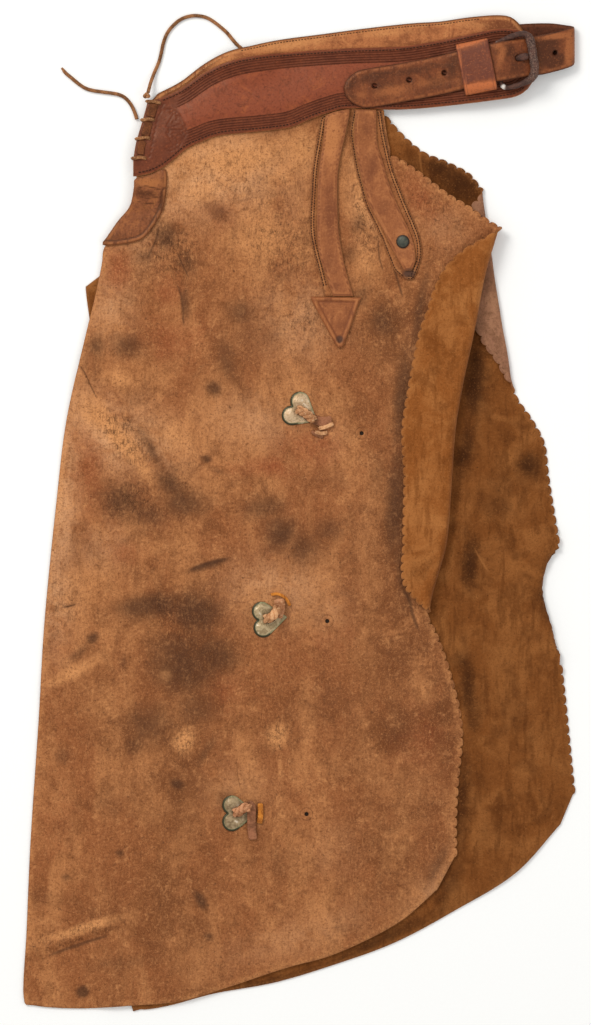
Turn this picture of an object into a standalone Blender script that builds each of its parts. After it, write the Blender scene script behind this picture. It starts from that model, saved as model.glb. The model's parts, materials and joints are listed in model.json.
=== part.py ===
"""Leather batwing chaps laid flat and folded in half at the laced front seam: the near leg with its
grain side up on the far leg with its suede side up, two shaped belt yokes, a strap and a buckle.

The garment lies on a cutting sheet, 591 by 1025 mm. Its plan is given on that sheet: across to the
right and down towards the hem, in millimetres from the upper left corner. Heights are in millimetres
above the table. All of it becomes metres, +X across, +Y up the sheet, +Z away from the table."""

import math
from collections import namedtuple

import bmesh
import bpy
from mathutils import Vector
from mathutils.bvhtree import BVHTree
from mathutils.geometry import delaunay_2d_cdt

MM = 0.001
ORIGIN_ACROSS, ORIGIN_DOWN = 299.44, 512.5

LEG_LEATHER = 2.0
YOKE_LEATHER = 2.4
LINING_LEATHER = 1.2
STRAP_LEATHER = 3.0
TAB_LEATHER = 1.6
SEAM_GAP = 0.3
LAID_GAP = 0.5
LAID_REACH = 3.5

SCALLOP_PITCH = 10.0
SCALLOP_DEPTH = 3.0
SCALLOP_STEPS = 4

SEAM_OVERLAP = 14.0
GRID = 28.0
FINE_GRID = 14.0
YOKE_GRID = 15.0

NEAR_FOLD_RADIUS = 6.5
NEAR_FLAP_EDGE_HEIGHT = 6.4
FAR_FOLD_RADIUS = 3.2
FAR_FLAP_EDGE_HEIGHT = 4.8
UNDER_FOLD_RADIUS = 0.8
UNDER_HEIGHT = 4.6
FOLD_STEPS = 4
FLAP_WHOLE = 2.0

NEAR_ON_FAR = 2.6
NEAR_SEAM_HEIGHT = 6.6
NEAR_ON_FAR_FLAP = 7.8
FAR_SEAM_HEIGHT = 2.7
LINING_SEAM_HEIGHT = 5.1
NEAR_YOKE_HEIGHT = 9.0
NEAR_YOKE_TOP_HEIGHT = 4.6
STRAP_END_RISE = 3.4
THONG_RISE = 4.2

THONG_WIDTH = 3.6
STRAP_WIDTH = 38.0
STRAP_HOLE = 5.3
TONGUE_SLOT = 9.0
RIVET_RADIUS = 6.7
RIVET_HEIGHT = 2.4

Point = namedtuple("Point", "across down")
FoldRow = namedtuple("FoldRow", "down fold flap")
BandRow = namedtuple("BandRow", "down left right")
StrapRow = namedtuple("StrapRow", "across down height width lean")
CordPoint = namedtuple("CordPoint", "across down height")

# The lower edge of both yokes, from the laced front to the buckle.
YOKE_LOWER = [
    Point(134, 177), Point(150, 174), Point(163, 168), Point(175, 159), Point(187, 149),
    Point(200, 143), Point(220, 136), Point(260, 132), Point(290, 128), Point(310, 120),
    Point(330, 113), Point(350, 109), Point(400, 110), Point(450, 106), Point(500, 100),
    Point(518, 96), Point(530, 87),
]
NEAR_YOKE_UPPER = [
    Point(535, 78), Point(533, 52), Point(523, 34), Point(511, 30), Point(495, 30),
    Point(470, 35), Point(440, 41), Point(400, 47), Point(350, 49), Point(300, 52),
    Point(260, 56), Point(230, 62), Point(205, 73), Point(180, 90), Point(160, 99),
]
NEAR_YOKE_FRONT = [Point(148, 103), Point(143, 122), Point(137, 143), Point(134, 160)]
FAR_YOKE_UPPER = [
    Point(534, 76), Point(532, 52), Point(524, 33), Point(514, 20), Point(500, 16),
    Point(470, 18), Point(440, 22), Point(410, 24), Point(365, 29), Point(320, 35),
    Point(282, 40), Point(254, 46), Point(229, 52), Point(205, 64), Point(181, 82),
    Point(158, 94),
]
FAR_YOKE_FRONT = [Point(150, 103), Point(145, 122), Point(139, 143), Point(136, 160)]

# Each leg runs from its seam, round the hip, down the wing, along the hem and up the inner edge.
NEAR_HIP_TOP = [Point(383.5, 112), Point(386.5, 134)]
NEAR_HIP = [
    Point(391, 155), Point(404, 161), Point(425, 176), Point(447, 193), Point(470, 207),
    Point(485, 218),
]
NEAR_FOLD = [
    FoldRow(227, 499, 0), FoldRow(247, 493, 26), FoldRow(267, 487, 42), FoldRow(289, 482, 49),
    FoldRow(311, 478, 52), FoldRow(337, 473, 56), FoldRow(384, 463, 55), FoldRow(434, 455, 54),
    FoldRow(478, 452, 49), FoldRow(540, 447, 45), FoldRow(578, 437, 36), FoldRow(596, 432, 22),
    FoldRow(608, 430, 9), FoldRow(615, 429, 0),
]
NEAR_WING = [
    Point(438, 635), Point(450, 669), Point(460, 708), Point(463, 738), Point(459, 780),
    Point(457, 818), Point(457, 857),
]
NEAR_HEM = [
    Point(437, 889), Point(397, 923), Point(336, 953), Point(284, 968), Point(224, 988),
    Point(178, 1001), Point(132, 1005), Point(80, 1008), Point(35, 1005),
]
NEAR_INNER = [
    Point(24, 996), Point(27, 930), Point(31, 840), Point(39, 720), Point(45, 620),
    Point(57, 500), Point(67, 420), Point(85, 340), Point(94, 303), Point(102, 266),
    Point(104, 250),
]
NEAR_FRONT = [Point(111, 239), Point(122, 222), Point(133, 206), Point(137, 190), Point(137, 176)]

FAR_HIP = [
    Point(386, 115), Point(396, 127), Point(410, 141), Point(426, 153), Point(446, 161),
    Point(469, 173),
]
FAR_FOLD = [
    FoldRow(188, 482, 0), FoldRow(206, 484, 14), FoldRow(225, 487, 33), FoldRow(250, 491, 44),
    FoldRow(280, 495, 50), FoldRow(305, 499, 45), FoldRow(330, 503, 28), FoldRow(345, 506, 23),
    FoldRow(363, 509, 13), FoldRow(378, 511, 7), FoldRow(394, 516, 0),
]
FAR_WING = [Point(533, 420), Point(545, 444), Point(549, 476), Point(556, 520), Point(560, 544)]
FAR_UNDER = [
    FoldRow(548, 559, 0), FoldRow(556, 553, 6), FoldRow(566, 547, 11), FoldRow(586, 543, 15),
    FoldRow(602, 545, 13), FoldRow(626, 552, 7), FoldRow(647, 557, 2), FoldRow(654, 560, 0),
]
FAR_LOWER_WING = [
    Point(562, 664), Point(566, 700), Point(570, 740), Point(574, 780), Point(575.5, 794),
]
FAR_HEM = [
    Point(560, 824), Point(515, 873), Point(455, 910), Point(395, 942), Point(335, 964),
    Point(275, 982), Point(215, 993), Point(170, 1005), Point(140, 1009),
]
FAR_INNER = [
    Point(130, 1000), Point(124, 900), Point(112, 700), Point(101, 500), Point(94, 360),
    Point(87, 298), Point(86, 287),
]
FAR_FRONT = [Point(99, 277), Point(125, 250), Point(141, 215), Point(151, 190)]

TAB = [
    Point(134.6, 181), Point(134, 191), Point(130, 207), Point(118, 222), Point(107, 238),
    Point(103, 245), Point(119, 245), Point(141, 240), Point(153, 228), Point(163, 210),
    Point(166, 193), Point(167.4, 178), Point(166, 170.4), Point(162.6, 170), Point(150, 175.8),
    Point(137, 178.8),
]

# The two applied hip straps: the strap itself, and the thinner layer that borders it.
STRAP_1 = [
    BandRow(110.4, 346.6, 349.4), BandRow(113.4, 333, 349.2), BandRow(117.2, 325.6, 348.8),
    BandRow(121, 324.8, 348), BandRow(143, 323, 343.4), BandRow(163, 320, 339),
    BandRow(185, 318, 337), BandRow(229, 317, 338), BandRow(254, 319, 342),
    BandRow(273, 325, 346), BandRow(296.4, 333, 353),
]
STRAP_1_BORDER = [
    BandRow(110.2, 347, 350.6), BandRow(113.4, 332.4, 350.2), BandRow(117.4, 322, 349.6),
    BandRow(121, 320.6, 349), BandRow(131, 319, 346.6), BandRow(143, 317, 344), BandRow(168, 313, 339),
    BandRow(198, 311, 338), BandRow(225, 310, 339), BandRow(244, 312, 341),
    BandRow(268, 318, 345), BandRow(296.4, 325, 354),
]
STRAP_2 = [
    BandRow(110.6, 355.4, 376), BandRow(143, 354, 377), BandRow(163, 358, 383),
    BandRow(185, 363, 389), BandRow(207, 370, 398), BandRow(229, 382, 408),
    BandRow(247, 391, 414), BandRow(262, 399, 415), BandRow(271, 405, 411),
]
STRAP_2_BORDER = [
    BandRow(110.4, 354, 381), BandRow(131, 350.4, 384), BandRow(150, 352.4, 388),
    BandRow(170, 356, 393), BandRow(189, 361, 400), BandRow(207, 366, 407),
    BandRow(223, 374, 414), BandRow(240, 382, 420), BandRow(258, 389, 421),
    BandRow(271, 395, 417), BandRow(280, 406, 413),
]
STRAP_1_POINT = [
    Point(313, 297), Point(357, 298), Point(359, 302), Point(344, 344), Point(340, 347),
    Point(336, 345), Point(312, 301),
]
RIVET_AT = Point(402.7, 242.2)

# The belt strap from its tip, over the buckle's hidden bar, under the visible bar and round its loop.
BELT_STRAP = [
    StrapRow(344.5, 92.8, 13.6, 8, 10.6), StrapRow(349, 92, 13.6, 22, 10.6),
    StrapRow(356, 91.4, 13.6, 32, 10.6), StrapRow(366, 90, 13.6, 38, 10.6),
    StrapRow(400, 84.2, 13.6, 38, 10.6), StrapRow(436, 77.4, 13.8, 38, 10.6),
    StrapRow(456, 72.6, 15.2, 38, 10.6), StrapRow(470, 68.4, 17.4, 38, 10.6),
    StrapRow(482, 66.4, 20, 38, 10.6), StrapRow(491, 65, 21.9, 38, 10.6),
    StrapRow(500, 63.4, 22.6, 38, 10.6), StrapRow(509, 61.8, 21.6, 38, 10.6),
    StrapRow(519, 60, 18.9, 38, 10.6), StrapRow(530, 58.2, 17, 38, 10.6),
    StrapRow(541, 56.2, 15.4, 38, 9.5), StrapRow(556, 52.6, 12.6, 37.5, 6),
    StrapRow(567, 49.4, 11, 37.5, 2.5), StrapRow(571.4, 47.6, 9.4, 37.5, 1),
    StrapRow(573, 46.4, 6.6, 37.5, 0), StrapRow(571.4, 45.6, 3.6, 37.5, 0),
    StrapRow(565.4, 44.6, 1.9, 37.5, 0), StrapRow(550, 43, 1.6, 38, 0),
    StrapRow(525, 43.4, 1.6, 38, -3), StrapRow(492, 46, 1.6, 38, -4),
]
STRAP_HOLES = [Point(374.5, 87), Point(409, 81), Point(444, 74), Point(554, 54)]
TONGUE_HOLE = Point(517, 60)

BuckleRow = namedtuple("BuckleRow", "across down height radius")
BUCKLE = [
    BuckleRow(497, 44.5, 17.7, 2.4), BuckleRow(509, 39, 19.4, 2.6), BuckleRow(520, 36, 21.2, 2.8),
    BuckleRow(526.5, 37.5, 22.4, 3.1), BuckleRow(529.5, 44, 22.8, 3.3),
    BuckleRow(532, 58, 22.9, 3.3), BuckleRow(533.5, 71, 22.8, 3.3), BuckleRow(531, 79.5, 22.2, 3.1),
    BuckleRow(524, 84, 21.2, 2.8), BuckleRow(515, 87.5, 19.8, 2.6), BuckleRow(504, 88.8, 18, 2.4),
    BuckleRow(499.5, 82, 17.7, 2.4), BuckleRow(497, 66, 17.7, 2.4), BuckleRow(495, 51, 17.7, 2.4),
]
TONGUE = [
    CordPoint(502.5, 63, 17.6), CordPoint(509, 62, 17.0), CordPoint(513.5, 61, 17.2),
    CordPoint(516.4, 60.3, 19.4), CordPoint(519, 59.6, 22), CordPoint(523, 58.8, 23.4),
    CordPoint(527.2, 58, 23.4),
]
TONGUE_RADIUS = 1.9

KEEPER_ACROSS = 32.0
KEEPER_LEATHER = 1.8
KEEPER_BEYOND = 5.6
KEEPER_AT = Point(460, 71.3)
KEEPER_STATIONS = 4
KEEPER_LEAN = math.radians(-11.2)

LACE_HOLES = [Point(161, 104), Point(154.8, 120.5), Point(150.6, 139), Point(146.4, 159)]
LACE_EDGES = [Point(148.5, 102), Point(143.4, 120.5), Point(138, 139.5), Point(134.2, 159)]
KNOT_AT = CordPoint(147, 96.4, 10.2)
KNOT_SIZE = (3.4, 2.8, 2.8)

LACE_UPPER = [
    CordPoint(148.4, 93.2, 10), CordPoint(150.6, 84, 6.6), CordPoint(154, 74, 3.2),
    CordPoint(159, 62, 1.9), CordPoint(161.5, 52, 1.9), CordPoint(163.5, 43, 1.9),
    CordPoint(167, 34, 1.9), CordPoint(172.5, 26.5, 1.9), CordPoint(181, 19.5, 1.9),
    CordPoint(191, 16.2, 1.9), CordPoint(200, 16.2, 1.9), CordPoint(208, 18.4, 1.9),
    CordPoint(215, 22.8, 1.9), CordPoint(221, 27.6, 1.9), CordPoint(227, 33, 1.9),
    CordPoint(232.4, 39.6, 1.9), CordPoint(237, 44.8, 1.9), CordPoint(242.5, 49.4, 1.9),
    CordPoint(249, 54, 1.9),
]
LACE_SIDE = [
    CordPoint(136.8, 119.4, 2.6), CordPoint(135.9, 116, 2.1), CordPoint(134.4, 111.6, 1.9),
    CordPoint(132.2, 106.8, 1.9), CordPoint(129, 102, 1.9), CordPoint(124.4, 97.4, 1.9),
    CordPoint(118.4, 94.6, 1.9), CordPoint(111, 93.2, 1.9), CordPoint(102, 92, 1.9),
    CordPoint(93.6, 90.8, 1.9), CordPoint(86, 88.6, 1.9), CordPoint(80, 85, 1.9),
    CordPoint(75, 81, 1.9), CordPoint(70, 76.8, 1.9), CordPoint(65.6, 73, 1.9),
    CordPoint(61.8, 68, 1.9),
]

ConchoRow = namedtuple("ConchoRow", "across down turn")
CONCHOS = [ConchoRow(299.1, 410.6, 31), ConchoRow(266.4, 619, -6), ConchoRow(236, 813, 0)]
CONCHO_LOBE = 9.5
CONCHO_ASIDE = 8.2
CONCHO_BACK = 4.0
CONCHO_POINT = 21.0
CONCHO_METAL = 1.4
CONCHO_THONGS = [
    [CordPoint(297.5, 409.5, 1.6), CordPoint(302, 411.5, 3.2), CordPoint(308, 415.5, 4.6),
     CordPoint(314, 421, 4.6), CordPoint(321, 426, 3.4), CordPoint(328, 429, 2.4)],
    [CordPoint(264.5, 618.5, 1.6), CordPoint(269.5, 618, 3.4), CordPoint(274.5, 614, 4.8),
     CordPoint(278, 607, 4.8), CordPoint(279.5, 601, 3.8), CordPoint(278.5, 596, 2.6)],
    [CordPoint(234, 812, 1.6), CordPoint(239.5, 811, 3.4), CordPoint(245, 806.5, 4.8),
     CordPoint(250.5, 807.5, 4.4), CordPoint(251.5, 817, 3.4), CordPoint(251.5, 828, 2.8),
     CordPoint(252.5, 837, 2.4)],
]
CONCHO_THONG_RADIUS = 3.2


def metres(across, down, height):
    return Vector((across - ORIGIN_ACROSS, ORIGIN_DOWN - down, height)) * MM


def ease(t):
    """From 0 to 1 with level ends."""
    t = min(max(t, 0.0), 1.0)
    return t * t * (3 - 2 * t)


def through(points, step):
    """A smooth curve through the points, with a point about every step."""
    ends = [2 * points[0][i] - points[1][i] for i in range(len(points[0]))]
    tail = [2 * points[-1][i] - points[-2][i] for i in range(len(points[0]))]
    rail = [Vector(ends)] + [Vector(point) for point in points] + [Vector(tail)]
    found = []
    for before, start, end, after in zip(rail, rail[1:], rail[2:], rail[3:]):
        pieces = max(1, round((end - start).length / step))
        for piece in range(pieces):
            t = piece / pieces
            found.append(
                0.5 * (2 * start + (end - before) * t
                       + (2 * before - 5 * start + 4 * end - after) * t * t
                       + (3 * start - before - 3 * end + after) * t ** 3)
            )
    return found + [rail[-2]]


def read_off(rows, column, at):
    """A column of a table whose first column rises, read between its rows along a smooth curve."""
    keys = [row[0] for row in rows]
    values = [row[column] for row in rows]
    if at <= keys[0]:
        return values[0] + (at - keys[0]) * (values[1] - values[0]) / (keys[1] - keys[0])
    if at >= keys[-1]:
        return values[-1] + (at - keys[-1]) * (values[-1] - values[-2]) / (keys[-1] - keys[-2])
    i = max(k for k in range(len(keys) - 1) if keys[k] <= at)
    span = keys[i + 1] - keys[i]
    t = (at - keys[i]) / span
    rise = (values[i + 1] - values[i]) / span
    before = (values[i] - values[i - 1]) / (keys[i] - keys[i - 1]) if i else rise
    after = rise if i + 2 == len(keys) else (values[i + 2] - values[i + 1]) / (keys[i + 2] - keys[i + 1])
    slope_in = 0.0 if before * rise <= 0 else 2 * before * rise / (before + rise)
    slope_out = 0.0 if after * rise <= 0 else 2 * after * rise / (after + rise)
    return (
        values[i] * (1 + 2 * t) * (1 - t) ** 2 + values[i + 1] * t * t * (3 - 2 * t)
        + span * (slope_in * t * (1 - t) ** 2 - slope_out * t * t * (1 - t))
    )


def scalloped(points):
    """The curve through these points cut in round scallops; the leather is on its right hand side
    for someone walking along it on the sheet."""
    curve = through(points, 1.0)
    lengths = [0.0]
    for a, b in zip(curve, curve[1:]):
        lengths.append(lengths[-1] + (b - a).length)
    count = round(lengths[-1] / SCALLOP_PITCH)
    found = []
    k = 0
    for i in range(count * SCALLOP_STEPS + 1):
        at = lengths[-1] * i / (count * SCALLOP_STEPS)
        while k < len(curve) - 2 and lengths[k + 1] < at:
            k += 1
        along = curve[k + 1] - curve[k]
        place = curve[k] + along * ((at - lengths[k]) / along.length)
        phase = (i % SCALLOP_STEPS) / SCALLOP_STEPS
        inset = SCALLOP_DEPTH * (1 - math.sqrt(1 - (2 * phase - 1) ** 2))
        along.normalize()
        found.append(place + Vector((-along.y, along.x)) * inset)
    return found


def below_yoke(across, down):
    """How far a place lies below the yokes' lower edge; less than 0 under the yokes."""
    return down - read_off(YOKE_LOWER, 1, min(max(across, 134), 530))


def yoke_rise(across, down):
    """What lifts the yokes: the strap's sewn end under the far yoke, and the thong that passes it."""
    strap = STRAP_END_RISE * ease((across - 436) / 48)
    away = math.hypot(across - 244, down - 50)
    return max(strap, THONG_RISE * ease((44 - away) / 30))


def far_flap_free_edge(down):
    return read_off(FAR_FOLD, 1, down) - read_off(FAR_FOLD, 2, down)


def far_height(across, down):
    seam = FAR_SEAM_HEIGHT * (1 - ease((below_yoke(across, down) - 8) / 30))
    under = FAR_UNDER[0].down - 30 < down < FAR_UNDER[-1].down + 30
    if not under:
        return seam
    fold = read_off(FAR_UNDER, 1, min(max(down, FAR_UNDER[0].down), FAR_UNDER[-1].down))
    window = ease((down - FAR_UNDER[0].down + 30) / 30) * ease((FAR_UNDER[-1].down + 30 - down) / 30)
    return max(seam, UNDER_HEIGHT * window * ease((across - fold + 50) / 38))


def near_height(across, down):
    inner = read_off(sorted((p.down, p.across) for p in FAR_INNER), 1, max(down, 287))
    if down < 287:
        inner = read_off(sorted((p.down, p.across) for p in FAR_FRONT), 1, min(down, 277))
    on_far = NEAR_ON_FAR * ease((across - inner + 42) / 30)
    seam = NEAR_SEAM_HEIGHT * (1 - ease((below_yoke(across, down) - 8) / 46))
    window = ease((down - 146) / 36) * ease((412 - down) / 66)
    on_flap = NEAR_ON_FAR_FLAP * window * ease((across - 376) / 62)
    return max(on_far, seam, on_flap)


def folded(rows, radius, edge_height, flat, down):
    """Where a point of the flat leather goes at a fold line: its place across and its height over
    the panel. Beyond the bend the flap lies back on the panel and sinks to edge_height at its edge."""
    inside = min(max(down, rows[0].down), rows[-1].down)
    fold, flap = read_off(rows, 1, inside), max(read_off(rows, 2, inside), 0.0)
    start = fold - abs(radius)
    excess = flat - start
    if excess <= 0 or not rows[0].down <= down <= rows[-1].down:
        return flat, 0.0
    size = abs(radius)
    whole = FLAP_WHOLE * size
    turn = math.pi * ease(flap / whole)
    sign = math.copysign(1, radius)
    if excess <= size * turn:
        angle = excess / size
        return start + size * math.sin(angle), sign * size * (1 - math.cos(angle))
    rest = excess - size * turn
    across = start + size * math.sin(turn) + rest * math.cos(turn)
    height = size * (1 - math.cos(turn)) + rest * math.sin(turn)
    sink = (2 * size - edge_height) * ease(rest / max(flap, whole)) * ease(flap / whole)
    return across, sign * (height - sink)


def flat_edge(rows, radius):
    """The free edge of the flap with the leather opened flat."""
    size = abs(radius)
    return [
        Point(
            row.fold + row.flap + size * (math.pi - 2) * ease(row.flap / (FLAP_WHOLE * size)),
            row.down,
        )
        for row in rows
    ]


def inside(outline, x, y):
    hits = False
    for (ax, ay), (bx, by) in zip(outline, outline[1:] + outline[:1]):
        if (ay > y) != (by > y) and x < (bx - ax) * (y - ay) / (by - ay) + ax:
            hits = not hits
    return hits


def clear_of(outline, x, y, margin):
    for (ax, ay), (bx, by) in zip(outline, outline[1:] + outline[:1]):
        dx, dy = bx - ax, by - ay
        t = ((x - ax) * dx + (y - ay) * dy) / max(dx * dx + dy * dy, 1e-9)
        t = min(max(t, 0.0), 1.0)
        if math.hypot(ax + t * dx - x, ay + t * dy - y) < margin:
            return False
    return True


def cloth(outline, grid, extra, place):
    """An open surface inside a flat outline, with a grid of points, laid out by place()."""
    outline = [(float(point[0]), float(point[1])) for point in outline]
    low, high = min(y for _, y in outline), max(y for _, y in outline)
    left, right = min(x for x, _ in outline), max(x for x, _ in outline)
    points = list(outline)
    y = low + grid / 2
    while y < high:
        x = left + grid / 2
        while x < right:
            if inside(outline, x, y) and clear_of(outline, x, y, grid * 0.42):
                points.append((x, y))
            x += grid
        y += grid
    points = points[: len(outline)] + [
        p for p in points[len(outline):]
        if all(math.hypot(p[0] - q[0], p[1] - q[1]) > grid * 0.45 for q in extra)
    ]
    for x, y in extra:
        if inside(outline, x, y) and clear_of(outline, x, y, 1.0):
            points.append((x, y))
    flipped = [Vector((x, -y)) for x, y in points]
    corners = list(range(len(outline)))
    found = delaunay_2d_cdt(flipped, [], [corners], 1, 1e-5)
    shape = bmesh.new()
    verts = [shape.verts.new(metres(*place(v.x, -v.y))) for v in found[0]]
    for face in found[2]:
        shape.faces.new([verts[i] for i in face])
    shape.normal_update()
    return shape


def fold_points(rows, radius, grid):
    """Points on lines along a fold, close together across it."""
    found = []
    down = rows[0].down + grid / 2
    while down < rows[-1].down:
        start = read_off(rows, 1, down) - abs(radius)
        for step in range(FOLD_STEPS + 1):
            found.append((start + abs(radius) * math.pi * step / FOLD_STEPS, down))
        down += grid
    return found


def material(name, colour, roughness, metallic=0.0):
    made = bpy.data.materials.new(name)
    made.use_nodes = True
    shader = made.node_tree.nodes["Principled BSDF"]
    shader.inputs["Base Color"].default_value = (*colour, 1)
    shader.inputs["Roughness"].default_value = roughness
    shader.inputs["Metallic"].default_value = metallic
    made.diffuse_color = (*colour, 1)
    return made


def new_object(name, data, finish):
    made = bpy.data.objects.new(name, data)
    made.data.materials.append(finish)
    CHAPS.objects.link(made)
    return made


def sheet_object(name, shape, thickness, finish, centred=False):
    """An open surface made a wall of leather, its thickness on the upper side of the surface."""
    data = bpy.data.meshes.new(name)
    shape.to_mesh(data)
    shape.free()
    data.shade_smooth()
    made = new_object(name, data, finish)
    wall = made.modifiers.new("Leather", "SOLIDIFY")
    wall.thickness = thickness * MM
    wall.offset = 0 if centred else 1
    wall.use_even_offset = False
    return made


def tube_object(name, points, radius, finish, step, radii=None, cyclic=False, resolution=2):
    curve = bpy.data.curves.new(name, "CURVE")
    curve.dimensions = "3D"
    curve.bevel_depth = radius * MM
    curve.bevel_resolution = resolution
    curve.use_fill_caps = not cyclic
    rail = list(points) + [points[0]] if cyclic else points
    smooth = through(rail, step)
    sizes = through([(r, 0) for r in radii + radii[:1]], 1e9) if radii else None
    if cyclic:
        smooth = smooth[:-1]
    spline = curve.splines.new("POLY")
    spline.points.add(len(smooth) - 1)
    for i, (point, place) in enumerate(zip(spline.points, smooth)):
        point.co = (*metres(*place), 1)
        if sizes:
            at = i / len(smooth) * (len(sizes) - 1)
            low = int(at)
            point.radius = sizes[low].x + (sizes[low + 1].x - sizes[low].x) * (at - low)
    spline.use_cyclic_u = cyclic
    return new_object(name, curve, finish)


def hung(shape_top, across, down):
    """The height of a surface, in millimetres, straight under a place, or else at its nearest edge."""
    place = metres(across, down, 200)
    hit = shape_top.ray_cast(place, Vector((0, 0, -1)))[0]
    if hit is None:
        hit = shape_top.find_nearest(metres(across, down, 20))[0]
    return hit.z / MM


def highest(shape_top, across, down, reach):
    """The greatest height of a surface within reach of a place, so that a flat facet clears it."""
    steps = [(0, 0), (reach, 0), (-reach, 0), (0, reach), (0, -reach)]
    return max(hung(shape_top, across + x, down + y) for x, y in steps)


def surface_of(made):
    graph = bpy.context.evaluated_depsgraph_get()
    graph.update()
    return BVHTree.FromObject(made, graph)


def legs():
    near_outline = (
        [Point(x, read_off(YOKE_LOWER, 1, x) - SEAM_OVERLAP) for x in range(139, 380, 20)]
        + [Point(*p) for p in through(NEAR_HIP_TOP + NEAR_HIP[:1], 15)[:-1]]
        + scalloped(NEAR_HIP + flat_edge(NEAR_FOLD, NEAR_FOLD_RADIUS) + NEAR_WING)
        + through(NEAR_HEM + NEAR_INNER + NEAR_FRONT, 24)
    )
    near = cloth(
        near_outline, GRID,
        fold_points(NEAR_FOLD, NEAR_FOLD_RADIUS, FINE_GRID) + seam_points(145, 380),
        lambda flat, down: on_near(*folded(
            NEAR_FOLD, NEAR_FOLD_RADIUS, NEAR_FLAP_EDGE_HEIGHT, flat, down), down),
    )
    sheet_object("near_leg", near, LEG_LEATHER, GRAIN)

    under = flat_edge(FAR_UNDER, UNDER_FOLD_RADIUS)
    far_outline = (
        [Point(x, read_off(YOKE_LOWER, 1, x) - SEAM_OVERLAP) for x in range(154, 380, 20)]
        + scalloped(FAR_HIP + flat_edge(FAR_FOLD, FAR_FOLD_RADIUS) + FAR_WING)
        + through(under, 9)
        + scalloped(FAR_LOWER_WING)
        + through(FAR_HEM + FAR_INNER, 24)
        + through(FAR_FRONT, 24)
    )
    far = cloth(
        far_outline, GRID,
        fold_points(FAR_FOLD, FAR_FOLD_RADIUS, FINE_GRID)
        + fold_points(FAR_UNDER, UNDER_FOLD_RADIUS, FINE_GRID) + seam_points(160, 380),
        on_far,
    )
    sheet_object("far_leg", far, LEG_LEATHER, SUEDE)


def seam_points(start, end):
    """Rows of points below the yokes, where the legs climb to their seam."""
    found = []
    for below in (3, 14, 25, 37, 50):
        found += [(x, read_off(YOKE_LOWER, 1, x) + below) for x in range(start, end, 14)]
    return found


def on_near(across, height, down):
    return across, down, near_height(across, down) + height


def on_far(flat, down):
    if down < 400:
        across, height = folded(FAR_FOLD, FAR_FOLD_RADIUS, FAR_FLAP_EDGE_HEIGHT, flat, down)
        return across, down, far_height(across, down) + height
    across, height = folded(FAR_UNDER, -UNDER_FOLD_RADIUS, 2 * UNDER_FOLD_RADIUS, flat + LEG_LEATHER, down)
    if height == 0:
        return flat, down, far_height(flat, down)
    return across - LEG_LEATHER, down, far_height(across, down) + height


def yokes():
    lower = through(YOKE_LOWER, 16)[:-1]
    near_outline = lower + through(NEAR_YOKE_UPPER, 16) + through(NEAR_YOKE_FRONT, 16)

    def near_place(across, down):
        climb = ease((below_yoke(across, down) + 64) / 44)
        height = NEAR_YOKE_TOP_HEIGHT + (NEAR_YOKE_HEIGHT - NEAR_YOKE_TOP_HEIGHT) * climb
        return across, down, height + yoke_rise(across, down)

    near = cloth(near_outline, YOKE_GRID, [], near_place)
    sheet_object("near_yoke", near, YOKE_LEATHER, YOKE)

    far_lower = [Point(p.x + 1, p.y - 1.5) for p in lower]
    far_outline = far_lower + through(FAR_YOKE_UPPER, 16) + through(FAR_YOKE_FRONT, 16)
    far = cloth(
        far_outline, YOKE_GRID, [],
        lambda across, down: (across, down, yoke_rise(across, down)),
    )
    sheet_object("far_yoke", far, YOKE_LEATHER, YOKE)

    def lining_place(across, down):
        climb = ease((below_yoke(across, down) + 36) / 18)
        low = YOKE_LEATHER + SEAM_GAP
        return across, down, low + (LINING_SEAM_HEIGHT - low) * climb + yoke_rise(across, down)

    lining = cloth(inset(far_outline, 0.8), YOKE_GRID, [], lining_place)
    sheet_object("far_yoke_lining", lining, LINING_LEATHER, LINING)


def inset(outline, distance):
    """A closed outline moved inwards."""
    found = []
    count = len(outline)
    for i in range(count):
        along = Vector(outline[(i + 1) % count]) - Vector(outline[i - 1])
        along.normalize()
        found.append(Vector(outline[i]) + Vector((along.y, -along.x)) * distance)
    return found


def band_outline(rows):
    right = through([Point(row.right, row.down) for row in rows], 9)
    left = through([Point(row.left, row.down) for row in rows], 9)
    return right + left[::-1]


def applied(name, outline, base, gap, thickness, finish, grid=8.0):
    """A flat piece that follows the surface that it is sewn on."""
    shape = cloth(
        outline, grid, [],
        lambda across, down: (across, down, highest(base, across, down, LAID_REACH) + gap),
    )
    return sheet_object(name, shape, thickness, finish)


def hip_straps():
    leg = surface_of(bpy.data.objects["near_leg"])
    applied("front_tab", through(TAB + TAB[:1], 10)[:-1], leg, LAID_GAP, TAB_LEATHER, YOKE)
    border_1 = applied("strap_1_border", band_outline(STRAP_1_BORDER), leg, LAID_GAP, 0.9, GRAIN)
    applied("strap_1", band_outline(STRAP_1), surface_of(border_1), LAID_GAP, 1.3, GRAIN)
    applied("strap_1_point", STRAP_1_POINT, leg, LAID_GAP, 2.2, GRAIN)
    border_2 = applied("strap_2_border", band_outline(STRAP_2_BORDER), leg, LAID_GAP, 0.9, GRAIN)
    strap_2 = applied("strap_2", band_outline(STRAP_2), surface_of(border_2), LAID_GAP, 1.3, GRAIN)
    turned("rivet", surface_of(strap_2), RIVET_AT, RIVET_RADIUS, RIVET_HEIGHT, RIVET)


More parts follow.
